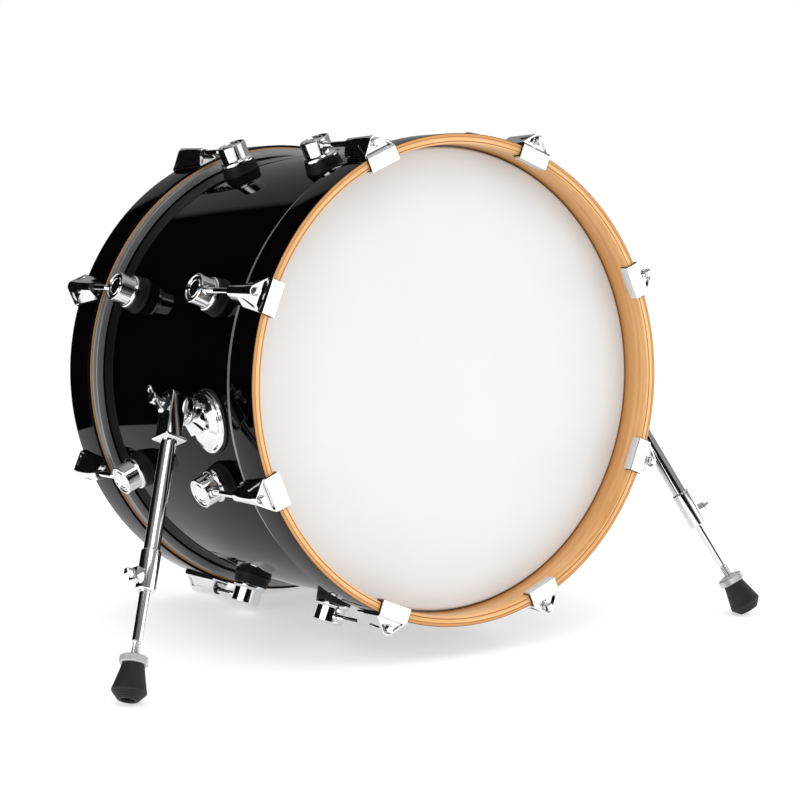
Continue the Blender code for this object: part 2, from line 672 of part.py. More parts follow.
def make_spurs(stance):
    """Both spurs. A leg's pieces keep their origins on its pivot, whose axis is its frame's X."""
    leg, rod, nut, foot = leg_mesh(), inner_rod_mesh(), nut_mesh(), foot_mesh()
    wing, key = wing_bolt_mesh(), key_bolt_mesh()
    for side, label in ((-1, "left"), (1, "right")):
        seat, base = base_mesh(side)
        place(f"{label}_spur_base", base, CHROME, stance, seat)
        frame = empty(f"{label}_leg_frame", stance, leg_frame(side))
        place(f"{label}_spur_leg", leg, CHROME, frame)
        place(f"{label}_inner_rod", rod, STEEL, frame)
        place(f"{label}_lock_nut", nut, STEEL, frame)
        place(f"{label}_rubber_foot", foot, RUBBER, frame)
        wing_turn = Matrix.Rotation(math.radians(side * -WING_TURN), 4, "X")
        place(f"{label}_wing_bolt", wing, CHROME, frame, wing_turn)
        place(f"{label}_key_bolt", key, CHROME, frame, Matrix.Translation((0, 0, KEY_BOLT_LEVEL)))


# --- Stance -------------------------------------------------------------------------------------------


def lowest(centre, axis, radius, lean):
    """Height of the lowest point of a circle after the drum leans by an angle about X."""
    turn = Matrix.Rotation(lean, 3, "X")
    axis_up = (turn @ axis).z
    return (turn @ centre).z - radius * math.sqrt(1 - axis_up**2)


def stance_matrix():
    """Leans the drum until its rear hoop and both feet touch the floor, found by halving."""
    frame = leg_frame(1)
    leg = frame.to_3x3() @ Vector((0, 0, -1))
    sole = frame @ Vector((0, 0, -FOOT_END))
    hoop = Vector((0, HOOP_EDGE - HOOP_ROUND, 0))
    low, high = -MOST_LEAN, MOST_LEAN
    for _ in range(HALVINGS):
        lean = (low + high) / 2
        foot_height = lowest(sole, leg, FOOT_SOLE_DIAMETER / 2, lean)
        hoop_height = lowest(hoop, Vector((0, 1, 0)), HOOP_RADIUS, lean)
        if foot_height < hoop_height:
            high = lean
        else:
            low = lean
    return Matrix.Translation((0, 0, -hoop_height)) @ Matrix.Rotation(lean, 4, "X")


def centre_on_floor(stance):
    """Slides the drum along Y until the middle of its footprint is at the origin."""
    bpy.context.view_layer.update()
    depths = [
        (piece.matrix_world @ vertex.co).y
        for piece in bpy.data.objects
        if piece.type == "MESH"
        for vertex in piece.data.vertices
    ]
    stance.location.y -= (min(depths) + max(depths)) / 2


def main():
    clear_scene()
    stance = empty("drum_stance", None, stance_matrix())
    make_drum(stance)
    make_fittings(stance)
    make_spurs(stance)
    centre_on_floor(stance)


main()
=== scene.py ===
"""The looks of a bass drum, as a Blender add-on that dresses the drum's packed model.

Each piece is modelled in the frame of the drum, of one of its fittings or of one of its legs, and rides on
the body that it moves with. Sizes that the model holds are read from it, and the rest are settings.
"""

import json
import math

import bmesh
import bpy
from bpy.props import FloatProperty, FloatVectorProperty, IntProperty, PointerProperty
from mathutils import Matrix, Vector


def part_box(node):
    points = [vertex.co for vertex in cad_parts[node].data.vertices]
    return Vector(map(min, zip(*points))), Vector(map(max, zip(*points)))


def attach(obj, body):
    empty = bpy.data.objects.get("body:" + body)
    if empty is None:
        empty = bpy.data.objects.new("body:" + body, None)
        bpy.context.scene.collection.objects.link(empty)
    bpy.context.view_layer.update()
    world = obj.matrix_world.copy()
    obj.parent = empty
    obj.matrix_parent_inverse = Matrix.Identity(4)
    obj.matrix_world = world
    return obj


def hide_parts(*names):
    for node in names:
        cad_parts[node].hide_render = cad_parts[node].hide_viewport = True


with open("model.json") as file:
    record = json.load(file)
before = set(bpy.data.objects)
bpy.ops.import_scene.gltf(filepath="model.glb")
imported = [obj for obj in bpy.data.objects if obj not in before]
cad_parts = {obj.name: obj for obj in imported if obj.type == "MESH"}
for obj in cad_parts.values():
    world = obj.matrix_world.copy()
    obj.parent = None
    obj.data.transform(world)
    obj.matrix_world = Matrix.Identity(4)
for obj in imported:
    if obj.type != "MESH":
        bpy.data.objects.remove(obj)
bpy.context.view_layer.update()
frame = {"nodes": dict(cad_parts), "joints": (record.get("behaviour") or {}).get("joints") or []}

bl_info = {
    "name": "Bass drum",
    "version": (1, 0, 0),
    "blender": (4, 5, 0),
    "location": "3D View > Sidebar > Bass drum",
    "description": "Dresses a bass drum with lacquer, maple, film, chrome and rubber",
    "category": "Object",
}

MM = 0.001
JOINTS = {joint["name"]: joint for joint in frame["joints"]}
FITTINGS = range(1, 9)
SIDES = {"left": -1, "right": 1}

ROUND = 48  # segments of a fitting
FINE = 32
RING = 256  # segments of the shell, hoops and heads
SHARP = math.radians(32)


# --- Where things are ---------------------------------------------------------------------------------


def axes(x, y, z, origin):
    """A frame from its three axes and its origin."""
    return Matrix.Translation(origin) @ Matrix((x, y, z)).transposed().to_4x4()


def drum_frame():
    """Origin in the middle of the drum, Y along its axis, with the front head at -Y."""
    low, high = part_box("shell")
    back = -Vector(JOINTS["front_rod_1_turn"]["axis"]).normalized()
    across = Vector((1, 0, 0))
    return axes(across, back, across.cross(back), (low + high) / 2)


def leg_frame(side):
    """Origin on the pivot, X along it and away from the drum, -Z down the leg."""
    fold, slide = JOINTS[f"{side}_spur_fold"], JOINTS[f"{side}_rod_slide"]
    pivot = SIDES[side] * Vector(fold["axis"]).normalized()
    up = -Vector(slide["axis"]).normalized()
    return axes(pivot, up.cross(pivot), up, Vector(fold["pos_m"]))


def points_of(node, where):
    """A node's points in a frame."""
    inverse = where.inverted()
    return [inverse @ vertex.co for vertex in frame["nodes"][node].data.vertices]


def span(node, where, axis):
    """Lowest and highest place of a node along one axis of a frame."""
    places = [point[axis] for point in points_of(node, where)]
    return min(places), max(places)


def radii(node):
    """Least and greatest distance of a node's points from the drum's axis."""
    distances = [math.hypot(point.x, point.z) for point in points_of(node, DRUM)]
    return min(distances), max(distances)


DRUM = drum_frame()
SHELL_BORE, SHELL_RADIUS = radii("shell")
HOOP_BORE, HOOP_RADIUS = radii("rear_hoop")
BEARING_EDGE = span("shell", DRUM, 1)[1]
HOOP_BACK, HOOP_EDGE = span("rear_hoop", DRUM, 1)
FLESH_BACK = span("rear_head", DRUM, 1)[0]
FILM_FACE = -span("front_head", DRUM, 1)[0]
FLESH_RADIUS = radii("rear_head")[1]
LUG_ROW = sum(span("rear_lug_1", DRUM, 1)) / 2
ROD_SPOT = {n: DRUM.inverted() @ Vector(JOINTS[f"front_rod_{n}_turn"]["pos_m"]) for n in FITTINGS}
ROD_FROM_AXIS = math.hypot(ROD_SPOT[1].x, ROD_SPOT[1].z)
ROD_HEIGHT = ROD_FROM_AXIS - HOOP_RADIUS  # above the hoop
ROD_ABOVE_SHELL = ROD_FROM_AXIS - SHELL_RADIUS
LEGS = {side: leg_frame(side) for side in SIDES}
CLEAR = 0.3 * MM  # between pieces that touch


def fitting_frame(number, radius, along, faces_back):
    """Z points away from the drum's axis, and -Y towards the fitting's own head."""
    spot = ROD_SPOT[number]
    turn = math.atan2(spot.z, spot.x)
    origin = Vector((radius * math.cos(turn), along, radius * math.sin(turn)))
    stand = Matrix.Rotation(math.pi / 2 - turn, 4, "Y")
    spin = Matrix.Rotation(math.pi if faces_back else 0, 4, "Z")
    return DRUM @ Matrix.Translation(origin) @ stand @ spin


def ends(radius, along):
    """Every fitting's end, number and frame at a radius and a distance from the drum's middle."""
    for end, sign in (("front", -1), ("rear", 1)):
        for number in FITTINGS:
            yield end, number, fitting_frame(number, radius, sign * along, sign > 0)


# --- Settings -----------------------------------------------------------------------------------------


def length(name, millimetres, about):
    return FloatProperty(
        name=name, description=about, default=millimetres * MM, min=0, precision=4, unit="LENGTH"
    )


def factor(name, value, about):
    return FloatProperty(name=name, description=about, default=value, min=0, max=1, subtype="FACTOR")


def colour(name, rgb, about):
    return FloatVectorProperty(
        name=name, description=about, default=rgb, size=3, min=0, max=1, subtype="COLOR"
    )


def count(name, value, about):
    return IntProperty(name=name, description=about, default=value, min=1)


class FinishSettings(bpy.types.PropertyGroup):
    """Colours and gloss of the drum's finishes."""

    lacquer: colour("Lacquer", (0.0008, 0.0008, 0.001), "Gloss lacquer on the shell and the hoops")
    lacquer_roughness: factor("Lacquer roughness", 0.035, "Roughness of the polished lacquer")
    maple_light: colour("Light maple", (0.80, 0.49, 0.225), "Maple between its grain lines")
    # Dark maple colours the grain lines. The hoops also use it for painted shade on their outer round-over and
    # deep in their bores.
    maple_grain_and_shade: colour("Dark maple", (0.50, 0.235, 0.075), "Maple in its grain lines")
    # The colour of the hoops' dark edge lines also paints shade, half strength, on their bare back face where it
    # meets the flesh hoop.
    maple_line_and_shade: colour("Burnt line", (0.16, 0.055, 0.014), "Thin dark line along a hoop's edges")
    film: colour("Film", (0.62, 0.625, 0.625), "Smooth white drumhead film")
    chrome: colour("Chrome", (0.80, 0.81, 0.82), "Polished chrome plating")
    zinc: colour("Zinc", (0.62, 0.64, 0.63), "Zinc plating on the lock nuts")
    aluminium: colour("Aluminium", (0.36, 0.36, 0.365), "Flesh hoops around the drumheads")
    rubber: colour("Rubber", (0.003, 0.003, 0.003), "Rubber feet, linings and gaskets")
    plastic: colour("Plastic", (0.002, 0.002, 0.002), "Moulded lug bases")


class DrumSettings(bpy.types.PropertyGroup):
    """Shell, hoops and heads."""

    hoop_round: length("Hoop round-over", 1.6, "Radius of the hoop's outer corners")
    hoop_line: length("Burnt line", 0.5, "Width of the dark line at each border of a hoop's edge")
    film_thickness: length("Film thickness", 0.5, "Thickness of a drumhead's film")
    collar_round: length("Collar round", 3.2, "Radius of a drumhead's bend over the bearing edge")
    flesh_groove: length("Flesh hoop groove", 1.3, "Depth of the rolled groove in a flesh hoop")


class LugSettings(bpy.types.PropertyGroup):
    """Tube lugs."""

    barrel: length("Barrel", 30, "Diameter of a lug's barrel")
    height: length("Height", 31.6, "From the shell to a lug's end face")
    collar: length("Collar", 34.4, "Diameter of the chrome collar")
    collar_height: length("Collar height", 4.5, "Height of the chrome collar")
    base: length("Base", 38.5, "Diameter of the black base where it meets the shell")
    base_height: length("Base height", 11, "Height of the black base")
    ring: length("Ring", 17.5, "Diameter of the raised ring on the end face")
    ferrule: length("Ferrule", 9.6, "Diameter of the ferrule that the rod goes into")


class ClawSettings(bpy.types.PropertyGroup):
    """Claws and their linings."""

    width: length("Width", 34, "Width of the lip")
    tail_width: length("Tail width", 20, "Width of the tail")
    span: length("Length", 46, "From the hoop's edge to the tail")
    lip_front: length("Lip front", 3.5, "How far the lip stands out in front of the hoop's edge")
    lip_depth: length("Lip depth", 14, "How far the lip reaches in past the hoop's outer surface")
    back: length("Return", 8, "How far the lip turns back inside the hoop")
    crown: length("Crown", 6.6, "From the rod's axis to the top of the claw's ridge")
    lining: length("Lining", 1.7, "Thickness of the rubber lining behind the lip")
    pocket: length("Pocket", 11.6, "Diameter of the pocket for the rod's head")
    pocket_depth: length("Pocket depth", 4, "Depth of the pocket for the rod's head")


class RodSettings(bpy.types.PropertyGroup):
    """Tension rods."""

    shaft: length("Shaft", 5.8, "Diameter of a tension rod")
    grip: length("Grip", 7.5, "How far a rod runs past its lug's axis")
    flange: length("Flange", 9.8, "Diameter of the flange under the head")
    square: length("Square", 6.3, "Width of the square head")
    head: length("Head", 6.6, "Length of the square head")
    thread: length("Thread", 15, "Length of the thread outside the lug")


class SpurSettings(bpy.types.PropertyGroup):
    """Bases, legs, bolts and feet. Distances down a leg are from its pivot."""

    base: length("Base", 62, "Diameter of the domed base")
    base_height: length("Base height", 15, "Height of the domed base")
    hub: length("Hub", 28, "Diameter of the toothed hub")
    standoff: length("Standoff", 42, "From the shell to the leg's axis")
    teeth: count("Teeth", 28, "Teeth on each half of the ratchet")
    block_width: length("Block width", 20.4, "Width of the block along the drum")
    block_depth: length("Block depth", 20, "Depth of the block along the pivot")
    block_top: length("Block top", 14, "From the pivot to the block's top")
    block_bottom: length("Block bottom", 33, "From the pivot to the block's bottom")
    tube: length("Tube", 15.6, "Diameter of the outer tube")
    sleeve: length("Sleeve", 19.4, "Diameter of the sleeve on the tube's end")
    sleeve_start: length("Sleeve start", 148, "Where the sleeve starts")
    sleeve_end: length("Sleeve end", 188, "Where the sleeve ends")
    boss: length("Boss", 13, "Width of the square boss on the sleeve")
    boss_face: length("Boss face", 16, "From the leg's axis to the boss's face")
    rod: length("Inner rod", 10, "Diameter of the inner rod")
    rod_start: length("Inner rod start", 104, "Where the inner rod starts inside the tube")
    thread_start: length("Thread start", 237, "Where the inner rod's thread starts")
    thread: length("Thread", 9, "Diameter of the inner rod's thread")
    pitch: length("Pitch", 1.5, "Pitch of the thread")
    spike: length("Spike", 288, "Where the spike's point is")
    nut_start: length("Nut start", 251.6, "Where the lock nut starts")
    nut_end: length("Nut end", 259, "Where the lock nut ends")
    nut: length("Nut", 27, "Diameter of the lock nut")
    foot_neck: length("Foot neck", 22, "Diameter of the foot's top")
    foot: length("Foot", 33, "Diameter of the foot's widest ring")
    foot_length: length("Foot length", 33.6, "Length of the foot")
    foot_widest: length("Foot widest", 24, "From the foot's top to its widest ring")
    sole: length("Sole", 20, "Diameter of the sole")
    wing: length("Wing", 44, "Length of the clamping bolt's bar")
    wing_thickness: length("Wing thickness", 6, "Diameter of the clamping bolt's bar")
    wing_reach: length("Wing reach", 12, "From the block to the bar")


class StageSettings(bpy.types.PropertyGroup):
    """Floor, lights and camera."""

    floor: colour("Floor", (0.55, 0.55, 0.55), "Pale studio floor")
    # The floor glow is painted light: the floor gives off light of its own, with no lamp under it, which
    # lightens the drum's shadow on it.
    floor_glow: factor("Floor glow", 0.52, "Light that comes through the floor from below")
    floor_back: length("Floor behind", 595, "How far the pale floor runs behind the drum's middle")
    floor_turn: FloatProperty(
        name="Floor turn",
        description="Turn of the floor's back edge",
        default=math.radians(32),
        unit="ROTATION",
    )
    ambient: FloatProperty(name="Ambient", description="Soft light from all around", default=1.08)
    ceiling: factor("Ceiling", 0.35, "Brightness of the ceiling that the drum reflects")
    wall: factor("Wall", 0.3, "Brightness of the wall that the drum reflects on its right")
    sun: FloatProperty(name="Key light", description="Strength of the soft light from above", default=0.6)
    panel: FloatProperty(
        name="Light panel", description="Power of the panel in front", default=18.0, unit="POWER"
    )


# --- Materials ----------------------------------------------------------------------------------------


class Value:
    """An output socket. Python's operators on it add Math nodes to its graph."""

    def __init__(self, graph, socket):
        self.graph = graph
        self.socket = socket

    def math(self, operation, *values):
        return self.graph.node("ShaderNodeMath", {"operation": operation}, dict(enumerate(values)))

    def __add__(self, other):
        return self.math("ADD", self, other)

    __radd__ = __add__

    def __sub__(self, other):
        return self.math("SUBTRACT", self, other)

    def __rsub__(self, other):
        return self.math("SUBTRACT", other, self)

    def __mul__(self, other):
        return self.math("MULTIPLY", self, other)

    __rmul__ = __mul__

    def __truediv__(self, other):
        return self.math("DIVIDE", self, other)

    def __pow__(self, other):
        return self.math("POWER", self, other)

    def __abs__(self):
        return self.math("ABSOLUTE", self)

    def __gt__(self, other):
        return self.math("GREATER_THAN", self, other)

    def __lt__(self, other):
        return self.math("LESS_THAN", self, other)


class Graph:
    """The node tree of a material or a world."""

    def __init__(self, owner):
        self.owner = owner
        owner.use_nodes = True
        self.tree = owner.node_tree
        self.tree.nodes.clear()

    def node(self, kind, settings=None, inputs=None, output=0):
        """Adds a node with its settings and its sockets' values or links, and gives one of its outputs."""
        made = self.tree.nodes.new(kind)
        for name, value in (settings or {}).items():
            if name == "stops":
                self.set_stops(made.color_ramp, value)
            else:
                setattr(made, name, value)
        for key, value in (inputs or {}).items():
            self.feed(made.inputs[key], value)
        return Value(self, made.outputs[output]) if made.outputs else None

    def set_stops(self, ramp, stops):
        for index, (position, level) in enumerate(stops):
            stop = ramp.elements[index] if index < 2 else ramp.elements.new(position)
            stop.position = position
            stop.color = (level, level, level, 1)

    def feed(self, socket, value):
        if isinstance(value, Value):
            self.tree.links.new(value.socket, socket)
        elif socket.type == "RGBA":
            socket.default_value = (*value, 1)
        else:
            socket.default_value = value

    def place(self):
        """Position in the piece's own frame, in metres."""
        return self.node("ShaderNodeTexCoord", output="Object")

    def parts(self, vector):
        """A vector's X, Y and Z."""
        split = self.node("ShaderNodeSeparateXYZ", inputs={0: vector})
        return [Value(self, socket) for socket in split.socket.node.outputs]

    def scaled(self, vector, scale):
        return self.node("ShaderNodeVectorMath", {"operation": "MULTIPLY"}, {0: vector, 1: scale})

    def noise(self, vector, scale, detail=3.0, roughness=0.5):
        inputs = {"Vector": vector, "Scale": scale, "Detail": detail, "Roughness": roughness}
        return self.node("ShaderNodeTexNoise", {}, inputs)

    def ramp(self, value, *stops):
        """Remaps a value through a ramp of (position, level) stops."""
        return self.node("ShaderNodeValToRGB", {"stops": stops}, {0: value})

    def mixed(self, share, first, second):
        """A colour between two colours."""
        inputs = {0: share, 6: first, 7: second}
        return self.node("ShaderNodeMix", {"data_type": "RGBA"}, inputs, 2)

    def bump(self, height, distance, strength=1.0):
        inputs = {"Height": height, "Distance": distance, "Strength": strength}
        return self.node("ShaderNodeBump", {}, inputs)

    def principled(self, inputs):
        shader = self.node("ShaderNodeBsdfPrincipled", {}, inputs)
        self.node("ShaderNodeOutputMaterial", {}, {"Surface": shader})
        return self.owner


def finishes():
    return bpy.context.scene.bass_drum_finish


def finish(name, build):
    """The material of that name, built the first time that a piece asks for it."""
    made = bpy.data.materials.get(name)
    return made or build(Graph(bpy.data.materials.new(name)), finishes())


def from_axis(graph, place):
    """Distance from the drum's axis, with the place's X, Y and Z."""
    x, y, z = graph.parts(place)
    return (x * x + z * z) ** 0.5, x, y, z


def maple_colour(graph, settings, place):
    """Maple whose fine grain runs round the drum, with faint broad figure."""
    radius, x, y, z = from_axis(graph, place)
    run = graph.node("ShaderNodeCombineXYZ", {}, {0: x * 5, 1: z * 5, 2: (y + radius * 1.7) * 260})
    grain = graph.noise(run, 1.0, 5.0, 0.62)
    broad = graph.noise(graph.scaled(run, (1.6, 1.6, 0.09)), 1.0, 2.0)
    flecks = graph.noise(graph.scaled(run, (14, 14, 1.4)), 1.0, 2.0)
    share = graph.ramp(grain * 0.62 + broad * 0.30 + flecks * 0.16, (0.36, 0.0), (0.70, 1.0))
    return graph.mixed(share, tuple(settings.maple_light), tuple(settings.maple_grain_and_shade)), grain


def lacquer_gloss(graph, settings, place):
    """Roughness and normal of polished lacquer: faint swirls and the slightest orange peel."""
    swirl = graph.noise(place, 9.0, 3.0)
    peel = graph.noise(place, 260.0, 2.0)
    roughness = settings.lacquer_roughness * 0.6 + swirl * settings.lacquer_roughness
    return roughness, graph.bump(peel, 0.01 * MM, 0.25)


def shell_finish(graph, settings):
    """Black lacquer outside, and bare maple ply inside and on the bearing edges."""
    place = graph.place()
    radius, *_ = from_axis(graph, place)
    outside = radius > SHELL_RADIUS - 1.2 * MM
    maple, grain = maple_colour(graph, settings, place)
    roughness, normal = lacquer_gloss(graph, settings, place)
    return graph.principled(
        {
            "Base Color": graph.mixed(outside, maple, tuple(settings.lacquer)),
            "Roughness": roughness * outside + (0.38 + grain * 0.14) * (1 - outside),
            "Specular IOR Level": 0.08,
            "Normal": normal,
        }
    )


def hoop_finish(graph, settings):
    """Maple inside thin burnt lines on the edge, and black lacquer outside and over the back edge, with painted
    shade on the outer round-over, deep in the bore and on the bare back face.
    """
    drum = bpy.context.scene.bass_drum
    place = graph.place()
    radius, _, along, _ = from_axis(graph, place)
    at_back = along < HOOP_BACK + 0.35 * MM
    outside = (radius > HOOP_RADIUS - 0.35 * MM) * (1 - at_back)
    lapped = (radius > FLESH_RADIUS + 1.4 * MM) * at_back
    black = outside + lapped
    maple, grain = maple_colour(graph, settings, place)
    line = drum.hoop_line
    # Painted shade: the outer round-over of the hoop's edge is darkened towards dark maple.
    bevel = radius > HOOP_RADIUS - 3.4 * MM
    outer_line = abs(radius - (HOOP_RADIUS - 3.5 * MM)) < line * 0.7
    inner_line = abs(radius - (HOOP_BORE + drum.hoop_round * 1.5)) < line * 0.9
    rim_line = radius > HOOP_RADIUS - 0.35 * MM - line
    on_edge = along > HOOP_EDGE - drum.hoop_round * 0.9
    lines = (outer_line * 0.8 + inner_line * 0.9 + rim_line * 0.8) * on_edge
    # Painted shade: the bore darkens further in, away from the hoop's edge.
    depth = graph.ramp(along * (1 / HOOP_EDGE), (0.80, 1.0), (0.995, 0.0))
    in_bore = radius < HOOP_BORE + drum.hoop_round * 1.5
    shade = (bevel * on_edge + depth * in_bore * 0.9) * (1 - lines)
    shaded_wood = graph.mixed(shade, maple, tuple(settings.maple_grain_and_shade))
    # Painted shade: the bare back face against the flesh hoop is taken half way to the line colour.
    shaded_wood = graph.mixed(lines + at_back * 0.5, shaded_wood, tuple(settings.maple_line_and_shade))
    roughness, normal = lacquer_gloss(graph, settings, place)
    return graph.principled(
        {
            "Base Color": graph.mixed(black, shaded_wood, tuple(settings.lacquer)),
            "Roughness": roughness * black + (0.30 + grain * 0.16) * (1 - black),
            "Specular IOR Level": 0.10,
            "Coat Weight": 0.35 * (1 - black),
            "Coat Roughness": 0.18,
            "Normal": normal,
        }
    )


def film_finish(graph, settings):
    """White polyester film: satin, with faint cloudiness and the finest pebble."""
    place = graph.place()
    cloud = graph.noise(place, 7.0, 4.0)
    pebble = graph.noise(place, 900.0, 2.0)
    tint = tuple(0.965 * channel for channel in settings.film)
    return graph.principled(
        {
            "Base Color": graph.mixed(graph.ramp(cloud, (0.35, 0.0), (0.7, 1.0)), tuple(settings.film), tint),
            "Roughness": 0.30 + cloud * 0.12,
            "Specular IOR Level": 0.25,
            "Normal": graph.bump(pebble, 0.012 * MM, 0.3),
        }
    )


def chrome_finish(graph, settings):
    """Polished chrome with light handling marks."""
    place = graph.place()
    smear = graph.noise(place, 60.0, 3.0)
    scratch = graph.noise(graph.scaled(place, (900, 900, 90)), 1.0, 2.0)
    wave = graph.noise(place, 120.0, 2.0)
    tint = tuple(0.93 * channel for channel in settings.chrome)
    return graph.principled(
        {
            "Base Color": graph.mixed(smear, tuple(settings.chrome), tint),
            "Metallic": 1.0,
            "Roughness": 0.06 + smear * 0.07 + graph.ramp(scratch, (0.62, 0.0), (0.8, 0.05)),
            "Normal": graph.bump(wave, 0.03 * MM, 0.35),
        }
    )


def zinc_finish(graph, settings):
    """Zinc plate: matt grey with soft crystalline patches."""
    place = graph.place()
    patch = graph.noise(place, 420.0, 4.0)
    tint = tuple(0.75 * channel for channel in settings.zinc)
    return graph.principled(
        {
            "Base Color": graph.mixed(patch, tuple(settings.zinc), tint),
            "Metallic": 0.7,
            "Roughness": 0.26 + patch * 0.18,
            "Normal": graph.bump(patch, 0.04 * MM, 0.5),
        }
    )


def aluminium_finish(graph, settings):
    """Rolled aluminium with fine drawing lines that run round the drum."""
    place = graph.place()
    radius, x, y, z = from_axis(graph, place)
    run = graph.node("ShaderNodeCombineXYZ", {}, {0: x * 2, 1: z * 2, 2: (y + radius) * 1800})
    drawn = graph.noise(run, 1.0, 3.0)
    tint = tuple(0.62 * channel for channel in settings.aluminium)
    return graph.principled(
        {
            "Base Color": graph.mixed(drawn, tuple(settings.aluminium), tint),
            "Metallic": 0.72,
            "Roughness": 0.34 + drawn * 0.2,
            "Normal": graph.bump(drawn, 0.03 * MM, 0.5),
        }
    )


def rubber_finish(graph, settings):
    """Moulded rubber: fine grain and a dusty bloom."""
    place = graph.place()
    grain = graph.noise(place, 1400.0, 3.0)
    bloom = graph.noise(place, 90.0, 3.0)
    dusty = tuple(channel * 2.2 for channel in settings.rubber)
    return graph.principled(
        {
            "Base Color": graph.mixed(graph.ramp(bloom, (0.4, 0.0), (0.75, 1.0)), tuple(settings.rubber), dusty),
            "Roughness": 0.52 + bloom * 0.2,
            "Normal": graph.bump(grain, 0.06 * MM, 0.6),
        }
    )


def plastic_finish(graph, settings):
    """Satin moulded plastic."""
    place = graph.place()
    grain = graph.noise(place, 1100.0, 2.0)
    bloom = graph.noise(place, 50.0, 2.0)
    worn = tuple(channel * 1.6 + 0.001 for channel in settings.plastic)
    return graph.principled(
        {
            "Base Color": graph.mixed(bloom, tuple(settings.plastic), worn),
            "Roughness": 0.46 + bloom * 0.14,
            "Specular IOR Level": 0.22,
            "Normal": graph.bump(grain, 0.03 * MM, 0.5),
        }
    )


# --- Mesh tools ---------------------------------------------------------------------------------------


def rounded(points, closed=False, steps=5):
    """Outline points, with a curve in place of each corner that has a radius as its third number."""
    result = []
    for index, point in enumerate(points):
        corner = Vector(point[:2])
        inner = closed or 0 < index < len(points) - 1
        if len(point) < 3 or not inner:
            result.append(tuple(corner))
            continue
        before = Vector(points[index - 1][:2]) - corner
        after = Vector(points[(index + 1) % len(points)][:2]) - corner
        half = before.angle(after) / 2
        run = min(point[2] / math.tan(half), 0.49 * before.length, 0.49 * after.length)
        start, end = corner + before.normalized() * run, corner + after.normalized() * run
        for step in range(steps + 1):
            t = step / steps
            result.append(tuple((1 - t) ** 2 * start + 2 * t * (1 - t) * corner + t**2 * end))
    return result


def finished(bm, name):
    """Closes a bmesh into a mesh that is smooth, apart from its sharp edges."""
    bmesh.ops.recalc_face_normals(bm, faces=bm.faces)
    mesh = bpy.data.meshes.new(name)
    bm.to_mesh(mesh)
    bm.free()
    mesh.shade_smooth()
    mesh.set_sharp_from_angle(angle=SHARP)
    return mesh


def skinned(name, rings, closed=False):
    """A skin over rings of points. A ring of one point is a pole, and open ends are capped."""
    bm = bmesh.new()
    loops = [[bm.verts.new(point) for point in ring] for ring in rings]
    pairs = list(zip(loops, loops[1:]))
    if closed:
        pairs.append((loops[-1], loops[0]))
    for first, second in pairs:
        size = max(len(first), len(second))
        for i in range(size):
            j = (i + 1) % size
            near = [first[i % len(first)], first[j % len(first)]]
            far = [second[j % len(second)], second[i % len(second)]]
            bm.faces.new(list(dict.fromkeys(near + far)))
    if not closed:
        for loop in (loops[0], loops[-1]):
            if len(loop) > 2:
                bm.faces.new(loop)
    return finished(bm, name)


TURNS = {
    "X": Matrix.Rotation(math.pi / 2, 4, "Y"),
    "Y": Matrix.Rotation(-math.pi / 2, 4, "X"),
    "Z": Matrix.Identity(4),
}


def spun(name, profile, segments=ROUND, axis="Z", ripple=None):
    """Turns a profile of (radius, height) points round an axis.

    A profile that starts and ends on the axis is a solid, and any other is a ring. A ripple gives what to
    add to a radius, from the radius, the height and the angle.
    """
    rings = []
    for radius, height in profile:
        if radius < 1e-7:
            rings.append([Vector((0, 0, height))])
            continue
        ring = []
        for step in range(segments):
            angle = math.tau * step / segments
            wide = radius + (ripple(radius, height, angle) if ripple else 0)
            ring.append(Vector((wide * math.cos(angle), wide * math.sin(angle), height)))
        rings.append(ring)
    on_axis = len(rings[0]) == 1 or len(rings[-1]) == 1
    mesh = skinned(name, rings, closed=not on_axis)
    mesh.transform(TURNS[axis])
    return mesh


def extruded(name, outline, width):
    """A prism along X, centred, over a closed outline of (y, z) points."""
    return skinned(name, [[Vector((x, y, z)) for y, z in outline] for x in (-width / 2, width / 2)])


def threaded(name, radius, pitch, start, end, segments=FINE):
    """A screw thread along Z."""
    rows = math.ceil((end - start) / pitch * 5)
    depth = pitch * 0.5
    rings = []
    for row in range(rows + 1):
        height = start + (end - start) * row / rows
        ring = []
        for step in range(segments):
            phase = (height / pitch - step / segments) % 1
            wide = radius - depth * abs(2 * phase - 1)
            angle = math.tau * step / segments
            ring.append(Vector((wide * math.cos(angle), wide * math.sin(angle), height)))
        rings.append(ring)
    return skinned(name, rings)


def moved(mesh, *offset):
    mesh.transform(Matrix.Translation(offset))
    return mesh


def joined(name, *meshes):
    """One mesh that holds several closed ones."""
    bm = bmesh.new()
    for mesh in meshes:
        bm.from_mesh(mesh)
    return finished(bm, name)


def carved(name, base, added=(), cut=(), edge=0.0):
    """A mesh with others joined on and cut away, and its sharp edges then eased."""
    body = bpy.data.objects.new(name, base)
    scratch = [body]
    bpy.context.scene.collection.objects.link(body)
    for operation, meshes in (("UNION", added), ("DIFFERENCE", cut)):
        for mesh in meshes:
            tool = bpy.data.objects.new(mesh.name, mesh)
            bpy.context.scene.collection.objects.link(tool)
            scratch.append(tool)
            step = body.modifiers.new(mesh.name, "BOOLEAN")
            step.operation = operation
            step.object = tool
            step.solver = "EXACT"
    if edge:
        ease = body.modifiers.new("ease", "BEVEL")
        ease.width = edge
        ease.segments = 2
        ease.limit_method = "ANGLE"
        ease.angle_limit = SHARP
        ease.harden_normals = False
    bpy.context.view_layer.update()
    result = bpy.data.meshes.new_from_object(body.evaluated_get(bpy.context.evaluated_depsgraph_get()))
    for thing in scratch:
        bpy.data.objects.remove(thing)
    bm = bmesh.new()
    bm.from_mesh(result)
    return finished(bm, name)


def put(name, mesh, material, slot, body, where, *nodes):
    """Adds a piece in a frame. It rides on a body and may stand for nodes of the model."""
    piece = bpy.data.objects.new(name, mesh)
    bpy.context.scene.collection.objects.link(piece)
    piece.matrix_world = where
    if not mesh.materials:
        mesh.materials.append(material)
    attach(piece, body)
    if nodes:
        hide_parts(*nodes)
    return piece


# --- Shell, hoops and heads ---------------------------------------------------------------------------


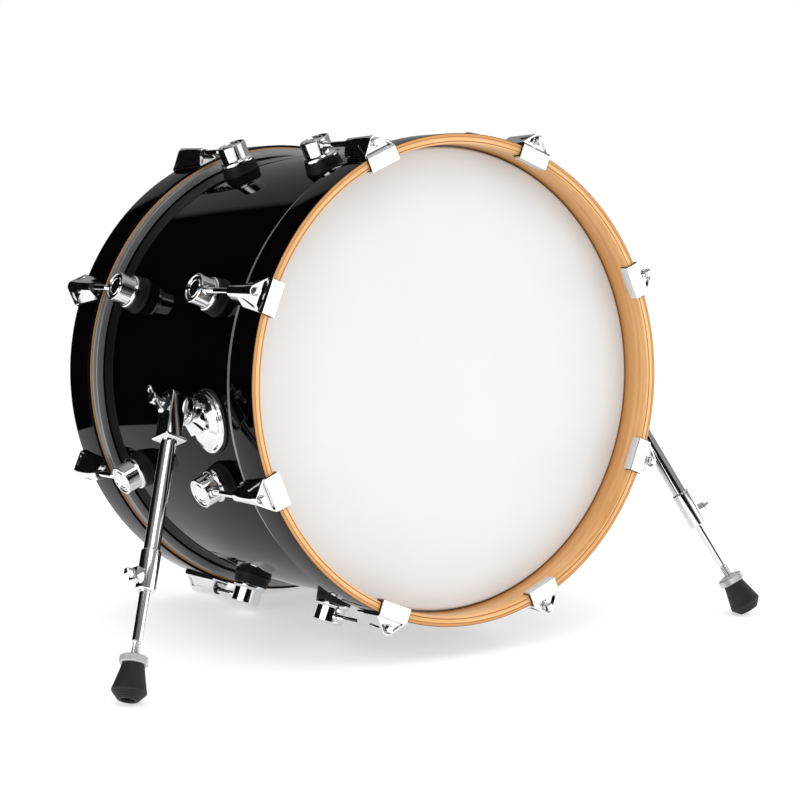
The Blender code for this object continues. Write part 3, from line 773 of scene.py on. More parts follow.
def shell_mesh():
    """A tube whose ends have a rounded outer shoulder, a narrow crest and a 45 degree cut inside."""
    crest = SHELL_RADIUS - 2.5 * MM
    slope = crest - SHELL_BORE
    end = rounded(
        [
            (SHELL_RADIUS, 0),
            (SHELL_RADIUS, BEARING_EDGE, 1.6 * MM),
            (crest, BEARING_EDGE, 0.4 * MM),
            (SHELL_BORE, BEARING_EDGE - slope, 0.8 * MM),
            (SHELL_BORE, 0),
        ]
    )
    outside, inside = end[1:-1], [(radius, -height) for radius, height in reversed(end[1:-1])]
    return spun("shell_body", outside + inside, RING, "Y")


def hoop_mesh():
    """A steam-bent hoop at the +Y end, with rounded outer corners and eased inner ones."""
    wide = bpy.context.scene.bass_drum.hoop_round
    small = 0.7 * MM
    profile = rounded(
        [
            (HOOP_RADIUS, HOOP_BACK, small),
            (HOOP_RADIUS, HOOP_EDGE, wide),
            (HOOP_BORE, HOOP_EDGE, 2 * wide),
            (HOOP_BORE, HOOP_BACK, small),
        ],
        closed=True,
    )
    return spun("hoop_body", profile, RING, "Y")


def film_mesh():
    """Film at the +Y end: flat, bent over the bearing edge and running down into the flesh hoop."""
    drum = bpy.context.scene.bass_drum
    thick = drum.film_thickness
    wall = SHELL_RADIUS + CLEAR
    inner_face = FILM_FACE - thick
    bottom = HOOP_BACK - 2 * MM
    edge = wall + thick
    outside = rounded([(0, FILM_FACE), (edge, FILM_FACE, drum.collar_round), (edge, bottom)], steps=8)
    inside = rounded([(wall, bottom), (wall, inner_face, 1.5 * MM), (0, inner_face)], steps=8)
    flat = [(radius, FILM_FACE) for radius in (0.06, 0.12, 0.17, 0.2)]
    return spun("film_body", outside[:1] + flat + outside[1:] + inside, RING, "Y")


def flesh_hoop_mesh():
    """The rolled aluminium channel that grips the film, with a groove round its outside."""
    drum = bpy.context.scene.bass_drum
    inner, outer = SHELL_RADIUS + CLEAR + drum.film_thickness, FLESH_RADIUS
    top, bottom = HOOP_BACK - CLEAR, FLESH_BACK
    groove = top - 3.2 * MM
    profile = rounded(
        [
            (outer, bottom, 1.0 * MM),
            (outer, groove - 0.9 * MM, 0.4 * MM),
            (outer - drum.flesh_groove, groove, 0.5 * MM),
            (outer, groove + 0.9 * MM, 0.4 * MM),
            (outer, top, 1.2 * MM),
            (inner, top, 0.6 * MM),
            (inner, bottom, 0.3 * MM),
        ],
        closed=True,
    )
    return spun("flesh_hoop_body", profile, RING, "Y")


class BASSDRUM_OT_shell(bpy.types.Operator):
    """Builds the lacquered shell"""

    bl_idname = "bass_drum.shell"
    bl_label = "Shell"

    def execute(self, context):
        finish_of_shell = finish("gloss black lacquer over maple ply", shell_finish)
        put("shell_tube", shell_mesh(), finish_of_shell, "shell_lacquer", "drum", DRUM, "shell")
        return {"FINISHED"}


class BASSDRUM_OT_hoops(bpy.types.Operator):
    """Builds both maple hoops"""

    bl_idname = "bass_drum.hoops"
    bl_label = "Hoops"

    def execute(self, context):
        mesh = hoop_mesh()
        material = finish("maple hoop with black lacquer", hoop_finish)
        turned_round = DRUM @ Matrix.Rotation(math.pi, 4, "Z")
        put("rear_maple_hoop", mesh, material, "maple_hoop", "drum", DRUM, "rear_hoop")
        put("front_maple_hoop", mesh, material, "maple_hoop", "drum", turned_round, "front_hoop")
        return {"FINISHED"}


class BASSDRUM_OT_heads(bpy.types.Operator):
    """Builds both drumheads: film and flesh hoop"""

    bl_idname = "bass_drum.heads"
    bl_label = "Drumheads"

    def execute(self, context):
        film, flesh = film_mesh(), flesh_hoop_mesh()
        white = finish("white drumhead film", film_finish)
        metal = finish("drawn aluminium", aluminium_finish)
        for end, turn in (("rear", 0), ("front", math.pi)):
            where = DRUM @ Matrix.Rotation(turn, 4, "Z")
            put(f"{end}_film", film, white, "drumhead", "drum", where, f"{end}_head")
            put(f"{end}_flesh_hoop", flesh, metal, "drumhead", "drum", where)
        return {"FINISHED"}


# --- Lugs, claws and tension rods ---------------------------------------------------------------------


def lug_barrel_mesh():
    """The chrome casting: a barrel with a ringed end face, a collar, and a ferrule for the rod."""
    lug = bpy.context.scene.bass_drum_lug
    top, barrel, ring = lug.height, lug.barrel / 2, lug.ring / 2
    collar, low = lug.collar / 2, lug.base_height
    high = low + lug.collar_height
    profile = rounded(
        [
            (0, top - 1.1 * MM),
            (ring - 1.2 * MM, top - 1.1 * MM, 0.5 * MM),
            (ring - 0.7 * MM, top - 0.3 * MM, 0.3 * MM),
            (ring + 0.7 * MM, top - 0.3 * MM, 0.3 * MM),
            (ring + 1.3 * MM, top - 1.3 * MM, 0.5 * MM),
            (barrel - 2.6 * MM, top - 1.3 * MM, 0.5 * MM),
            (barrel - 2.0 * MM, top, 0.4 * MM),
            (barrel - 0.9 * MM, top, 0.4 * MM),
            (barrel, top - 0.9 * MM, 0.5 * MM),
            (barrel, high + 0.3 * MM, 1.2 * MM),
            (collar - 1.0 * MM, high, 0.7 * MM),
            (collar, high - 1.4 * MM, 0.8 * MM),
            (collar, low, 0.4 * MM),
            (0, low),
        ],
        steps=3,
    )
    ferrule_radius = lug.ferrule / 2
    front = -barrel - 2.6 * MM
    ferrule = spun(
        "ferrule",
        rounded(
            [
                (0, front),
                (ferrule_radius - 0.8 * MM, front, 0.4 * MM),
                (ferrule_radius, front + 1.4 * MM, 0.6 * MM),
                (ferrule_radius, -barrel * 0.6),
                (0, -barrel * 0.6),
            ],
            steps=3,
        ),
        FINE,
        "Y",
    )
    rod_bore = spun("rod_bore", rod_profile(3.3 * MM, -2 * barrel, lug.ferrule), FINE, "Y")
    for tool in (ferrule, rod_bore):
        moved(tool, 0, 0, ROD_ABOVE_SHELL)
    return carved("lug_barrel_body", spun("barrel", profile), [ferrule], [rod_bore])


def rod_profile(radius, start, end):
    """A plain round bar."""
    return [(0, start), (radius, start), (radius, end), (0, end)]


def lug_base_mesh():
    """The black base: a waisted skirt whose foot follows the shell."""
    lug = bpy.context.scene.bass_drum_lug
    top, collar, foot = lug.base_height - 0.1 * MM, lug.collar / 2, lug.base / 2
    profile = rounded(
        [
            (0, top),
            (collar + 0.4 * MM, top, 0.8 * MM),
            (collar + 1.1 * MM, top * 0.62, 6 * MM),
            (foot - 0.6 * MM, top * 0.30, 2 * MM),
            (foot, top * 0.16, 0.8 * MM),
            (foot, 0),
            (0, 0),
        ],
        steps=4,
    )
    mesh = spun("lug_base_body", profile)
    lowest = min(vertex.co.z for vertex in mesh.vertices)
    for vertex in mesh.vertices:
        drop = SHELL_RADIUS - math.sqrt(SHELL_RADIUS**2 - vertex.co.x**2)
        if vertex.co.z < lowest + 1e-6:
            vertex.co.z = 0.15 * MM - drop
    return mesh


def claw_section(along, half, foot, crown, floor, steps=12):
    """One section of a claw: a foot at each side, and flanks that run up to a round ridge over the rod."""
    centre = Vector((0, ROD_HEIGHT))
    corner = Vector((half, foot))
    away = corner - centre
    first = math.atan2(away.y, away.x) + math.acos(crown / away.length)
    right = [(half, floor), (half, foot)]
    ridge = []
    for step in range(steps + 1):
        angle = first + (math.pi - 2 * first) * step / steps
        ridge.append((centre.x + crown * math.cos(angle), centre.y + crown * math.sin(angle)))
    left = [(-half, foot), (-half, floor)]
    return [Vector((x, along, z)) for x, z in right + ridge + left]


def hollowed(mesh, name, rim, depth):
    """Sinks each end face of a lofted claw inside a rim of its own."""
    bm = bmesh.new()
    bm.from_mesh(mesh)
    ends_of_loft = [face for face in bm.faces if abs(face.normal.y) > 0.99]
    ends_of_loft.sort(key=lambda face: face.calc_center_median().y)
    for cap, sign, width, sink in zip((ends_of_loft[0], ends_of_loft[-1]), (1, -1), rim, depth):
        bmesh.ops.inset_region(bm, faces=[cap], thickness=width, use_even_offset=True)
        sunk = bmesh.ops.extrude_discrete_faces(bm, faces=[cap])["faces"][0]
        for vertex in sunk.verts:
            vertex.co.y += sign * sink
        bmesh.ops.bridge_loops(bm, edges=[edge for edge in bm.edges if edge.is_boundary])
    return finished(bm, name)


def claw_mesh():
    """The chrome casting: lip, ridge over the rod, sunk end faces and a three-cornered recess in each flank."""
    claw = bpy.context.scene.bass_drum_claw
    half, tail = claw.width / 2, claw.tail_width / 2
    floor = 1.0 * MM
    foot = 3.0 * MM

    def section(along, shrink=0.0):
        share = max(along, 0) / claw.span
        return claw_section(
            along,
            half + (tail - half) * share - shrink,
            foot,
            claw.crown - 1.4 * MM * share - shrink,
            floor,
        )

    stations = [section(0), section(claw.span * 0.33), section(claw.span * 0.66), section(claw.span)]
    body = hollowed(skinned("claw_body", stations), "claw_body", (1.3 * MM, 1.1 * MM), (2.6 * MM, 12 * MM))
    front, throat = -claw.lip_front, -CLEAR - claw.lining
    inside = claw.lip_depth - 1.6 * MM
    hook = rounded(
        [
            (front, 0.6 * MM, 0.8 * MM),
            (front, -claw.lip_depth, 1.4 * MM),
            (claw.back, -claw.lip_depth, 0.6 * MM),
            (claw.back, -inside, 0.3 * MM),
            (throat, -inside, 0.8 * MM),
            (throat, floor),
            (2.0 * MM, floor),
            (2.0 * MM, foot),
            (throat, foot, 0.5 * MM),
        ],
        closed=True,
        steps=3,
    )
    pocket = spun("pocket", rod_profile(claw.pocket / 2, -9 * MM, claw.pocket_depth), FINE, "Y")
    bore = spun("bore", rod_profile(3.4 * MM, -9 * MM, 2 * claw.span), FINE, "Y")
    cutters = [moved(pocket, 0, 0, ROD_HEIGHT), moved(bore, 0, 0, ROD_HEIGHT)]
    cutters += [flank_recess(claw, half, tail, foot, sign) for sign in (-1, 1)]
    lip = extruded("hook", hook, claw.width - 0.4 * MM)
    return carved("claw_casting_body", lip, [body], cutters, edge=0.35 * MM)


def flank_recess(claw, half, tail, foot, sign):
    """A wedge that cuts a three-cornered recess into one flank of a claw."""

    def on_flank(share, rise):
        section = claw_section(
            share * claw.span, half + (tail - half) * share, foot, claw.crown - 1.4 * MM * share, 0
        )
        return section[1].lerp(section[2], rise)

    corners = [on_flank(0.08, 0.14), on_flank(0.08, 0.80), on_flank(0.50, 0.74)]
    normal = (corners[1] - corners[0]).cross(corners[2] - corners[0]).normalized()
    if normal.x < 0:
        normal = -normal
    rings = [[corner + normal * lift for corner in corners] for lift in (-1.1 * MM, 4 * MM)]
    if sign < 0:
        rings = [[Vector((-point.x, point.y, point.z)) for point in ring] for ring in rings]
    return skinned("flank_recess", rings)


def lining_mesh():
    """The black rubber lining: a hook behind the lip and a foot under the ridge."""
    claw = bpy.context.scene.bass_drum_claw
    throat, inside = -CLEAR - claw.lining, claw.lip_depth - 1.6 * MM
    floor, under = 1.0 * MM, CLEAR * 0.6
    hook = rounded(
        [
            (throat, floor),
            (throat, -inside),
            (claw.back + 0.5 * MM, -inside),
            (claw.back + 0.5 * MM, -inside + 1.1 * MM, 0.4 * MM),
            (-CLEAR * 0.6, -inside + 1.1 * MM, 0.4 * MM),
            (-CLEAR * 0.6, under, 0.3 * MM),
            (3 * MM, under),
            (3 * MM, floor),
        ],
        closed=True,
        steps=3,
    )
    half, tail = claw.width / 2, claw.tail_width / 2
    rings = []
    for share in (0.05, 0.97):
        wide, along = half + (tail - half) * share - 0.1 * MM, share * claw.span
        corners = ((-wide, under), (wide, under), (wide, floor), (-wide, floor))
        rings.append([Vector((x, along, z)) for x, z in corners])
    return joined("lining_body", extruded("lining_hook", hook, claw.width), skinned("lining_foot", rings))


def square_outline(half, corner):
    """A square with rounded corners, as a closed outline."""
    corners = [(-half, -half, corner), (half, -half, corner), (half, half, corner), (-half, half, corner)]
    return rounded(corners, closed=True, steps=3)


def tension_rod_mesh():
    """A key rod along Y from its head at the claw to its tip in the lug."""
    rod, claw = bpy.context.scene.bass_drum_rod, bpy.context.scene.bass_drum_claw
    seat = claw.pocket_depth - CLEAR
    radius, flange, half = rod.shaft / 2, rod.flange / 2, rod.square / 2
    tip = HOOP_EDGE - LUG_ROW + rod.grip
    lug_face = HOOP_EDGE - LUG_ROW - bpy.context.scene.bass_drum_lug.barrel / 2
    thread_start = lug_face - rod.thread
    shaft = spun(
        "shaft",
        [
            (0, seat - 0.5 * MM),
            (radius, seat - 0.5 * MM),
            (radius, thread_start),
            (radius - 0.4 * MM, thread_start + 0.5 * MM),
            (0, thread_start + 0.5 * MM),
        ],
        FINE,
        "Y",
    )
    thread = threaded("thread", radius, 0.8 * MM, thread_start, tip)
    thread.transform(TURNS["Y"])
    rim, bore = flange - 0.15 * MM, radius + 0.3 * MM
    front = seat - 0.9 * MM
    washer = rounded([(bore, seat), (bore, front), (rim, front, 0.3 * MM), (rim, seat)], steps=3)
    washer = spun("washer", washer, FINE, "Y")
    head_start = seat - 0.95 * MM
    top = head_start - 1.5 * MM
    dome = rounded(
        [
            (0, head_start),
            (rim - 0.5 * MM, head_start),
            (rim - 0.5 * MM, head_start - 0.6 * MM, 0.5 * MM),
            (half + 0.4 * MM, top, 0.5 * MM),
            (0, top),
        ],
        steps=4,
    )
    dome = spun("flange", dome, FINE, "Y")
    end = top - rod.head + 1.0 * MM
    outline = square_outline(half, 0.9 * MM)
    shrunk = [(x * 0.86, z * 0.86) for x, z in outline]
    levels = ((top + 0.5 * MM, outline), (end + 0.7 * MM, outline), (end, shrunk))
    square = skinned("square", [[Vector((x, y, z)) for x, z in ring] for y, ring in levels])
    return joined("tension_rod_body", shaft, thread, washer, dome, square)


def bush_mesh():
    """The small black bush on a rod where it leaves its claw."""
    claw, rod = bpy.context.scene.bass_drum_claw, bpy.context.scene.bass_drum_rod
    inner, outer = rod.shaft / 2 + 0.05 * MM, rod.shaft / 2 + 1.1 * MM
    start, end = claw.span - 1.5 * MM, claw.span + 2.2 * MM
    profile = [(inner, start), (outer, start, 0.4 * MM), (outer, end, 0.4 * MM), (inner, end)]
    return spun("bush_body", rounded(profile, closed=True, steps=3), FINE, "Y")


class BASSDRUM_OT_lugs(bpy.types.Operator):
    """Builds the tube lugs at both ends"""

    bl_idname = "bass_drum.lugs"
    bl_label = "Lugs"

    def execute(self, context):
        barrel, base = lug_barrel_mesh(), lug_base_mesh()
        chrome = finish("polished chrome", chrome_finish)
        plastic = finish("black moulded plastic", plastic_finish)
        for end, number, where in ends(SHELL_RADIUS, LUG_ROW):
            node = f"{end}_lug_{number}"
            put(f"{end}_lug_barrel_{number}", barrel, chrome, "lug_chrome", "drum", where, node)
            put(f"{end}_lug_base_{number}", base, plastic, "lug_chrome", "drum", where)
        return {"FINISHED"}


class BASSDRUM_OT_claws(bpy.types.Operator):
    """Builds the claws and their rubber linings at both ends"""

    bl_idname = "bass_drum.claws"
    bl_label = "Claws"

    def execute(self, context):
        casting, lining = claw_mesh(), lining_mesh()
        chrome = finish("polished chrome", chrome_finish)
        rubber = finish("black rubber", rubber_finish)
        for end, number, where in ends(HOOP_RADIUS, HOOP_EDGE):
            node = f"{end}_claw_{number}"
            put(f"{end}_claw_casting_{number}", casting, chrome, "claw_chrome", "drum", where, node)
            put(f"{end}_claw_lining_{number}", lining, rubber, "claw_chrome", "drum", where)
        return {"FINISHED"}


class BASSDRUM_OT_tension_rods(bpy.types.Operator):
    """Builds the tension rods, with their washers and bushes"""

    bl_idname = "bass_drum.tension_rods"
    bl_label = "Tension rods"

    def execute(self, context):
        rod, bush = tension_rod_mesh(), bush_mesh()
        chrome = finish("polished chrome", chrome_finish)
        rubber = finish("black rubber", rubber_finish)
        for end, number, where in ends(ROD_FROM_AXIS, HOOP_EDGE):
            turning = end == "front"
            body = f"front_rod_{number}" if turning else "drum"
            nodes = [f"front_tension_rod_{number}"] if turning else []
            put(f"{end}_key_rod_{number}", rod, chrome, "rod_chrome", body, where, *nodes)
            put(f"{end}_rod_bush_{number}", bush, rubber, "rod_chrome", "drum", where)
        return {"FINISHED"}


# --- Spurs --------------------------------------------------------------------------------------------


def spur():
    return bpy.context.scene.bass_drum_spur


def base_frame(side):
    """Where a spur's base stands: Z away from the drum's axis, Y along it."""
    pivot = LEGS[side].to_3x3().col[0]
    foot = DRUM.inverted() @ (LEGS[side].translation - pivot * spur().standoff)
    turn = math.atan2(foot.z, foot.x)
    origin = Vector((SHELL_RADIUS * math.cos(turn), foot.y, SHELL_RADIUS * math.sin(turn)))
    return DRUM @ Matrix.Translation(origin) @ Matrix.Rotation(math.pi / 2 - turn, 4, "Y")


def fitted_to_shell(mesh, below):
    """Bends the lowest points of a mesh onto the shell's curve."""
    for vertex in mesh.vertices:
        if vertex.co.z < below:
            drop = SHELL_RADIUS - math.sqrt(SHELL_RADIUS**2 - vertex.co.x**2)
            vertex.co.z = vertex.co.z - drop
    return mesh


def spur_dome_mesh():
    """The polished dome of a spur's base: rim, step and crown."""
    settings = spur()
    rim, top = settings.base / 2, settings.base_height
    profile = rounded(
        [
            (0, top),
            (13 * MM, top, 4 * MM),
            (19 * MM, top - 2.6 * MM, 6 * MM),
            (rim - 5.4 * MM, 7.2 * MM, 5 * MM),
            (rim - 3.4 * MM, 6.2 * MM, 1.2 * MM),
            (rim - 2.2 * MM, 4.6 * MM, 1.2 * MM),
            (rim, 3.6 * MM, 0.9 * MM),
            (rim, 1.9 * MM),
            (0, 1.9 * MM),
        ],
        steps=5,
    )
    return fitted_to_shell(spun("spur_dome_body", profile, 64), 2.0 * MM)


def gasket_mesh():
    """The black rubber gasket between a spur's base and the shell."""
    rim = spur().base / 2 + 1.0 * MM
    profile = rounded([(0, 1.9 * MM), (rim, 1.9 * MM, 0.6 * MM), (rim, 0.2 * MM), (0, 0.2 * MM)], steps=3)
    mesh = spun("gasket_body", profile, 64)
    return fitted_to_shell(mesh, 2.5 * MM)


def toothed(name, radius, start, end, teeth, tooth):
    """A disc along X with face teeth at its end."""
    rings = []
    segments = teeth * 2
    sign = 1 if end > start else -1
    for distance, wide in ((start, radius), (end, radius), (end, radius * 0.55)):
        ring = []
        for step in range(segments):
            angle = math.tau * step / segments
            cut = sign * tooth * (step % 2) if distance == end else 0
            ring.append(Vector((distance - cut, wide * math.cos(angle), wide * math.sin(angle))))
        rings.append(ring)
    return skinned(name, rings)


def hub_mesh():
    """The cast hub in the leg's frame: a waisted neck out of the dome, and a toothed face."""
    settings = spur()
    radius, face = settings.hub / 2, -settings.block_depth / 2 - CLEAR
    neck = rounded(
        [
            (0, -settings.standoff + 12 * MM),
            (radius + 3 * MM, -settings.standoff + 12 * MM),
            (radius - 1.2 * MM, -settings.standoff + 19 * MM, 6 * MM),
            (radius - 1.6 * MM, face - 7 * MM, 2 * MM),
            (radius + 0.2 * MM, face - 5 * MM, 1 * MM),
            (radius + 0.2 * MM, face - 2.6 * MM, 0.5 * MM),
            (0, face - 2.6 * MM),
        ],
        steps=4,
    )
    plate = toothed("plate", radius - 0.4 * MM, face - 2.7 * MM, face, settings.teeth, 1.0 * MM)
    web = [(-15 * MM, -8 * MM), (-15 * MM, 8 * MM), (15 * MM, 5 * MM), (15 * MM, -5 * MM)]
    rings = []
    for distance, shrink in ((-settings.standoff + 12 * MM, 1.2), (face - 8 * MM, 0.75)):
        rings.append([Vector((distance, y * shrink, z * shrink)) for z, y in web])
    return joined("hub_body", spun("neck", neck, ROUND, "X"), plate, skinned("web", rings))


def block_mesh():
    """The leg's block, rounded all over, with its toothed plate and the flange under it."""
    settings = spur()
    half, top, bottom = settings.block_width / 2, settings.block_top, -settings.block_bottom
    inner = -settings.block_depth / 2
    shoulder = inner + 2.6 * MM
    outline = rounded(
        [
            (-half, bottom),
            (half, bottom),
            (half, top, 6 * MM),
            (-half, top, 6 * MM),
        ],
        closed=True,
        steps=8,
    )
    block = extruded("block", outline, settings.block_depth / 2 - shoulder)
    moved(block, (settings.block_depth / 2 + shoulder) / 2, 0, 0)
    body = carved("block_body", block, edge=1.5 * MM)
    plate = toothed("plate", settings.hub / 2 - 0.4 * MM, shoulder + 1 * MM, inner, settings.teeth, 1.0 * MM)
    rim = 2.6 * MM
    wide, deep = half + rim, settings.block_depth / 2 + rim
    corner = 3.2 * MM
    plan = rounded(
        [(-deep, -wide, corner), (deep, -wide, corner), (deep, wide, corner), (-deep, wide, corner)],
        closed=True,
        steps=4,
    )
    levels = (
        (bottom - 2.6 * MM, 0.93),
        (bottom - 2.0 * MM, 1.0),
        (bottom - 0.5 * MM, 1.0),
        (bottom + 0.3 * MM, 0.94),
        (bottom + 1.3 * MM, 0.82),
    )
    flange = skinned("flange", [[Vector((x * s, y * s, z)) for x, y in plan] for z, s in levels])
    return joined("leg_block_body", body, plate, flange)


def tube_mesh():
    """The outer tube and its sleeve, whose lower end is bored."""
    settings = spur()
    tube, sleeve, bore = settings.tube / 2, settings.sleeve / 2, settings.rod / 2 + 0.35 * MM
    top = -settings.block_bottom - 1 * MM
    start, end = -settings.sleeve_start, -settings.sleeve_end
    profile = rounded(
        [
            (bore, top),
            (tube, top),
            (tube, start + 0.3 * MM, 0.4 * MM),
            (sleeve - 0.9 * MM, start, 0.4 * MM),
            (sleeve, start - 1.1 * MM, 0.8 * MM),
            (sleeve, end + 1.3 * MM, 1.2 * MM),
            (sleeve - 1.3 * MM, end, 0.8 * MM),
            (bore + 1.0 * MM, end, 0.4 * MM),
            (bore, end + 1.0 * MM, 0.4 * MM),
        ],
        closed=True,
        steps=4,
    )
    return spun("leg_tube_body", profile, ROUND)


def boss_mesh():
    """The square boss on the sleeve, with the key bolt's bore in its face."""
    settings = spur()
    half = settings.boss / 2
    level = -settings.sleeve_end + 13 * MM
    square = [(-half, -half), (half, -half), (half, half), (-half, half)]
    block = extruded("boss", square, settings.boss_face - 4 * MM)
    moved(block, settings.boss_face / 2 + 2 * MM, 0, 0)
    bore = spun("key_bore", rod_profile(2.8 * MM, 5 * MM, 30 * MM), FINE, "X")
    return moved(carved("leg_boss_body", block, [], [bore], edge=1.1 * MM), 0, 0, level)


def inner_rod_mesh():
    """The sliding rod: a polished shaft, a thread and a spike."""
    settings = spur()
    radius, thread = settings.rod / 2, settings.thread / 2
    start, stop, point = -settings.rod_start, -settings.thread_start, -settings.spike
    spike_top = point + 9 * MM
    shaft = rounded(
        [
            (0, start),
            (radius, start, 0.8 * MM),
            (radius, stop, 0.6 * MM),
            (thread - 0.7 * MM, stop - 0.9 * MM),
            (0, stop - 0.9 * MM),
        ]
    )
    screw = threaded("screw", thread, settings.pitch, spike_top + 1 * MM, stop - 0.5 * MM)
    spike = rounded(
        [
            (0, spike_top + 2 * MM),
            (thread - 0.8 * MM, spike_top + 2 * MM),
            (thread - 0.8 * MM, spike_top, 0.4 * MM),
            (0.5 * MM, point + 0.3 * MM, 0.4 * MM),
            (0, point),
        ]
    )
    return joined("inner_rod_body", spun("shaft", shaft, ROUND), screw, spun("spike", spike, FINE))


def nut_mesh():
    """A knurled lock nut: a thick disc with a low hub."""
    settings = spur()
    radius, bore = settings.nut / 2, settings.thread / 2 + 0.35 * MM
    top, bottom = -settings.nut_start, -settings.nut_end
    teeth = 64

    def knurl(wide, height, angle):
        if wide < radius - 0.3 * MM:
            return 0
        return 0.22 * MM * (math.cos(teeth * angle) - 1)

    profile = rounded(
        [
            (bore, top + 1.4 * MM, 0.3 * MM),
            (bore + 3.6 * MM, top + 1.4 * MM, 0.4 * MM),
            (bore + 4.0 * MM, top, 0.3 * MM),
            (radius - 1.0 * MM, top, 0.3 * MM),
            (radius, top - 0.9 * MM),
            (radius, bottom + 0.9 * MM),
            (radius - 1.0 * MM, bottom, 0.3 * MM),
            (bore, bottom, 0.3 * MM),
        ],
        closed=True,
        steps=3,
    )
    return spun("lock_nut_body", profile, teeth * 4, ripple=knurl)


def foot_mesh():
    """A rubber foot: faceted cone, widest ring, stepped ribs down to the sole, and a mouth for the spike."""
    settings = spur()
    neck, wide, sole = settings.foot_neck / 2, settings.foot / 2, settings.sole / 2
    top = -settings.nut_end - CLEAR
    widest, bottom = top - settings.foot_widest, top - settings.foot_length
    ribs = 4
    steps = []
    for rib in range(ribs):
        share, after = rib / ribs, (rib + 0.72) / ribs
        for part, sunk in ((share, 0.0), (after, 0.0), (after, 0.95 * MM)):
            radius = wide + (sole - wide) * part - sunk
            share_down = part + (0.04 if sunk else 0)
            steps.append((radius, widest - 2.2 * MM + (bottom - widest + 2.2 * MM) * share_down, 0.15 * MM))
    mouth = 6.6 * MM
    bore = settings.thread / 2 + 0.35 * MM
    profile = rounded(
        [
            (bore, top, 0.2 * MM),
            (neck - 0.6 * MM, top, 0.5 * MM),
            (neck, top - 1.2 * MM, 0.8 * MM),
            (neck + 0.3 * MM, top - 3 * MM, 1.5 * MM),
            (wide - 0.5 * MM, widest + 1.2 * MM, 1.2 * MM),
            (wide, widest, 0.5 * MM),
            *steps,
            (sole, bottom, 0.4 * MM),
            (mouth, bottom, 0.4 * MM),
            (mouth, bottom + 7 * MM, 0.6 * MM),
            (bore, bottom + 7 * MM, 0.2 * MM),
        ],
        closed=True,
        steps=2,
    )

    def facets(radius, height, angle):
        share = (top - height) / settings.foot_widest
        if radius < neck - 1 * MM or not 0.1 < share < 0.94:
            return 0
        return -0.8 * MM * math.sin(math.pi * share) * abs(math.cos(7 * angle))

    return spun("foot_body", profile, 80, ripple=facets)


def wing_bolt_mesh():
    """The clamping bolt: a stepped hub and a bar with rounded ends."""
    settings = spur()
    outer = settings.block_depth / 2
    centre = outer + settings.wing_reach
    radius = settings.wing_thickness / 2
    hub = spun(
        "wing_hub",
        rounded(
            [
                (0, outer + 2.4 * MM),
                (4.6 * MM, outer + 2.4 * MM, 0.4 * MM),
                (4.2 * MM, outer + 6 * MM, 0.6 * MM),
                (5.4 * MM, outer + 7.4 * MM, 0.6 * MM),
                (5.4 * MM, centre + radius + 1.4 * MM, 1.6 * MM),
                (0, centre + radius + 2.6 * MM),
            ],
            steps=4,
        ),
        FINE,
        "X",
    )
    half = settings.wing / 2
    bar = rounded(
        [
            (0, -half),
            (radius, -half, 2.4 * MM),
            (radius, -half + 5 * MM, 0.6 * MM),
            (radius - 0.8 * MM, -half + 6 * MM, 0.6 * MM),
            (radius - 0.6 * MM, -7 * MM, 1 * MM),
            (radius + 0.4 * MM, -5 * MM),
        ],
        steps=4,
    )
    bar += [(wide, -along) for wide, along in reversed(bar)]
    wing = moved(spun("wing_bar", bar, FINE, "Y"), centre, 0, 0)
    shaft = spun("wing_shaft", rod_profile(4 * MM, -outer - 14 * MM, outer + 3 * MM), FINE, "X")
    return joined("wing_bolt_body", hub, wing, shaft)


def wing_washer_mesh():
    """The black collar between the block and the clamping bolt's hub."""
    outer = spur().block_depth / 2
    profile = rounded(
        [
            (4.2 * MM, outer + 0.2 * MM),
            (7.2 * MM, outer + 0.2 * MM, 0.6 * MM),
            (6.6 * MM, outer + 2.6 * MM, 0.8 * MM),
            (4.2 * MM, outer + 2.6 * MM),
        ],
        closed=True,
        steps=4,
    )
    return spun("wing_washer_body", profile, FINE, "X")


def key_bolt_mesh():
    """The square-headed bolt in the boss."""
    seat = spur().boss_face + CLEAR
    shaft = spun("key_shaft", rod_profile(2.5 * MM, seat - 9 * MM, seat + 1 * MM), FINE, "X")
    flange = rounded(
        [
            (0, seat),
            (4.5 * MM, seat, 0.3 * MM),
            (4.5 * MM, seat + 0.9 * MM, 0.5 * MM),
            (3.4 * MM, seat + 1.7 * MM, 0.3 * MM),
            (0, seat + 1.7 * MM),
        ],
        steps=3,
    )
    outline = square_outline(3.15 * MM, 0.8 * MM)
    shrunk = [(y * 0.84, z * 0.84) for y, z in outline]
    levels = ((seat + 1 * MM, outline), (seat + 7 * MM, outline), (seat + 7.7 * MM, shrunk))
    head = skinned("key_head", [[Vector((x, y, z)) for y, z in ring] for x, ring in levels])
    return joined("key_bolt_body", shaft, spun("key_flange", flange, FINE, "X"), head)


class BASSDRUM_OT_spur_bases(bpy.types.Operator):
    """Builds the spurs' domed bases, gaskets and toothed hubs"""

    bl_idname = "bass_drum.spur_bases"
    bl_label = "Spur bases"

    def execute(self, context):
        dome, gasket, hub = spur_dome_mesh(), gasket_mesh(), hub_mesh()
        chrome = finish("polished chrome", chrome_finish)
        rubber = finish("black rubber", rubber_finish)
        for side in SIDES:
            seat = base_frame(side)
            put(f"{side}_spur_dome", dome, chrome, "spur_chrome", "drum", seat, f"{side}_spur_base")
            put(f"{side}_spur_gasket", gasket, rubber, "spur_chrome", "drum", seat)
            put(f"{side}_spur_hub", hub, chrome, "spur_chrome", "drum", LEGS[side])
        return {"FINISHED"}


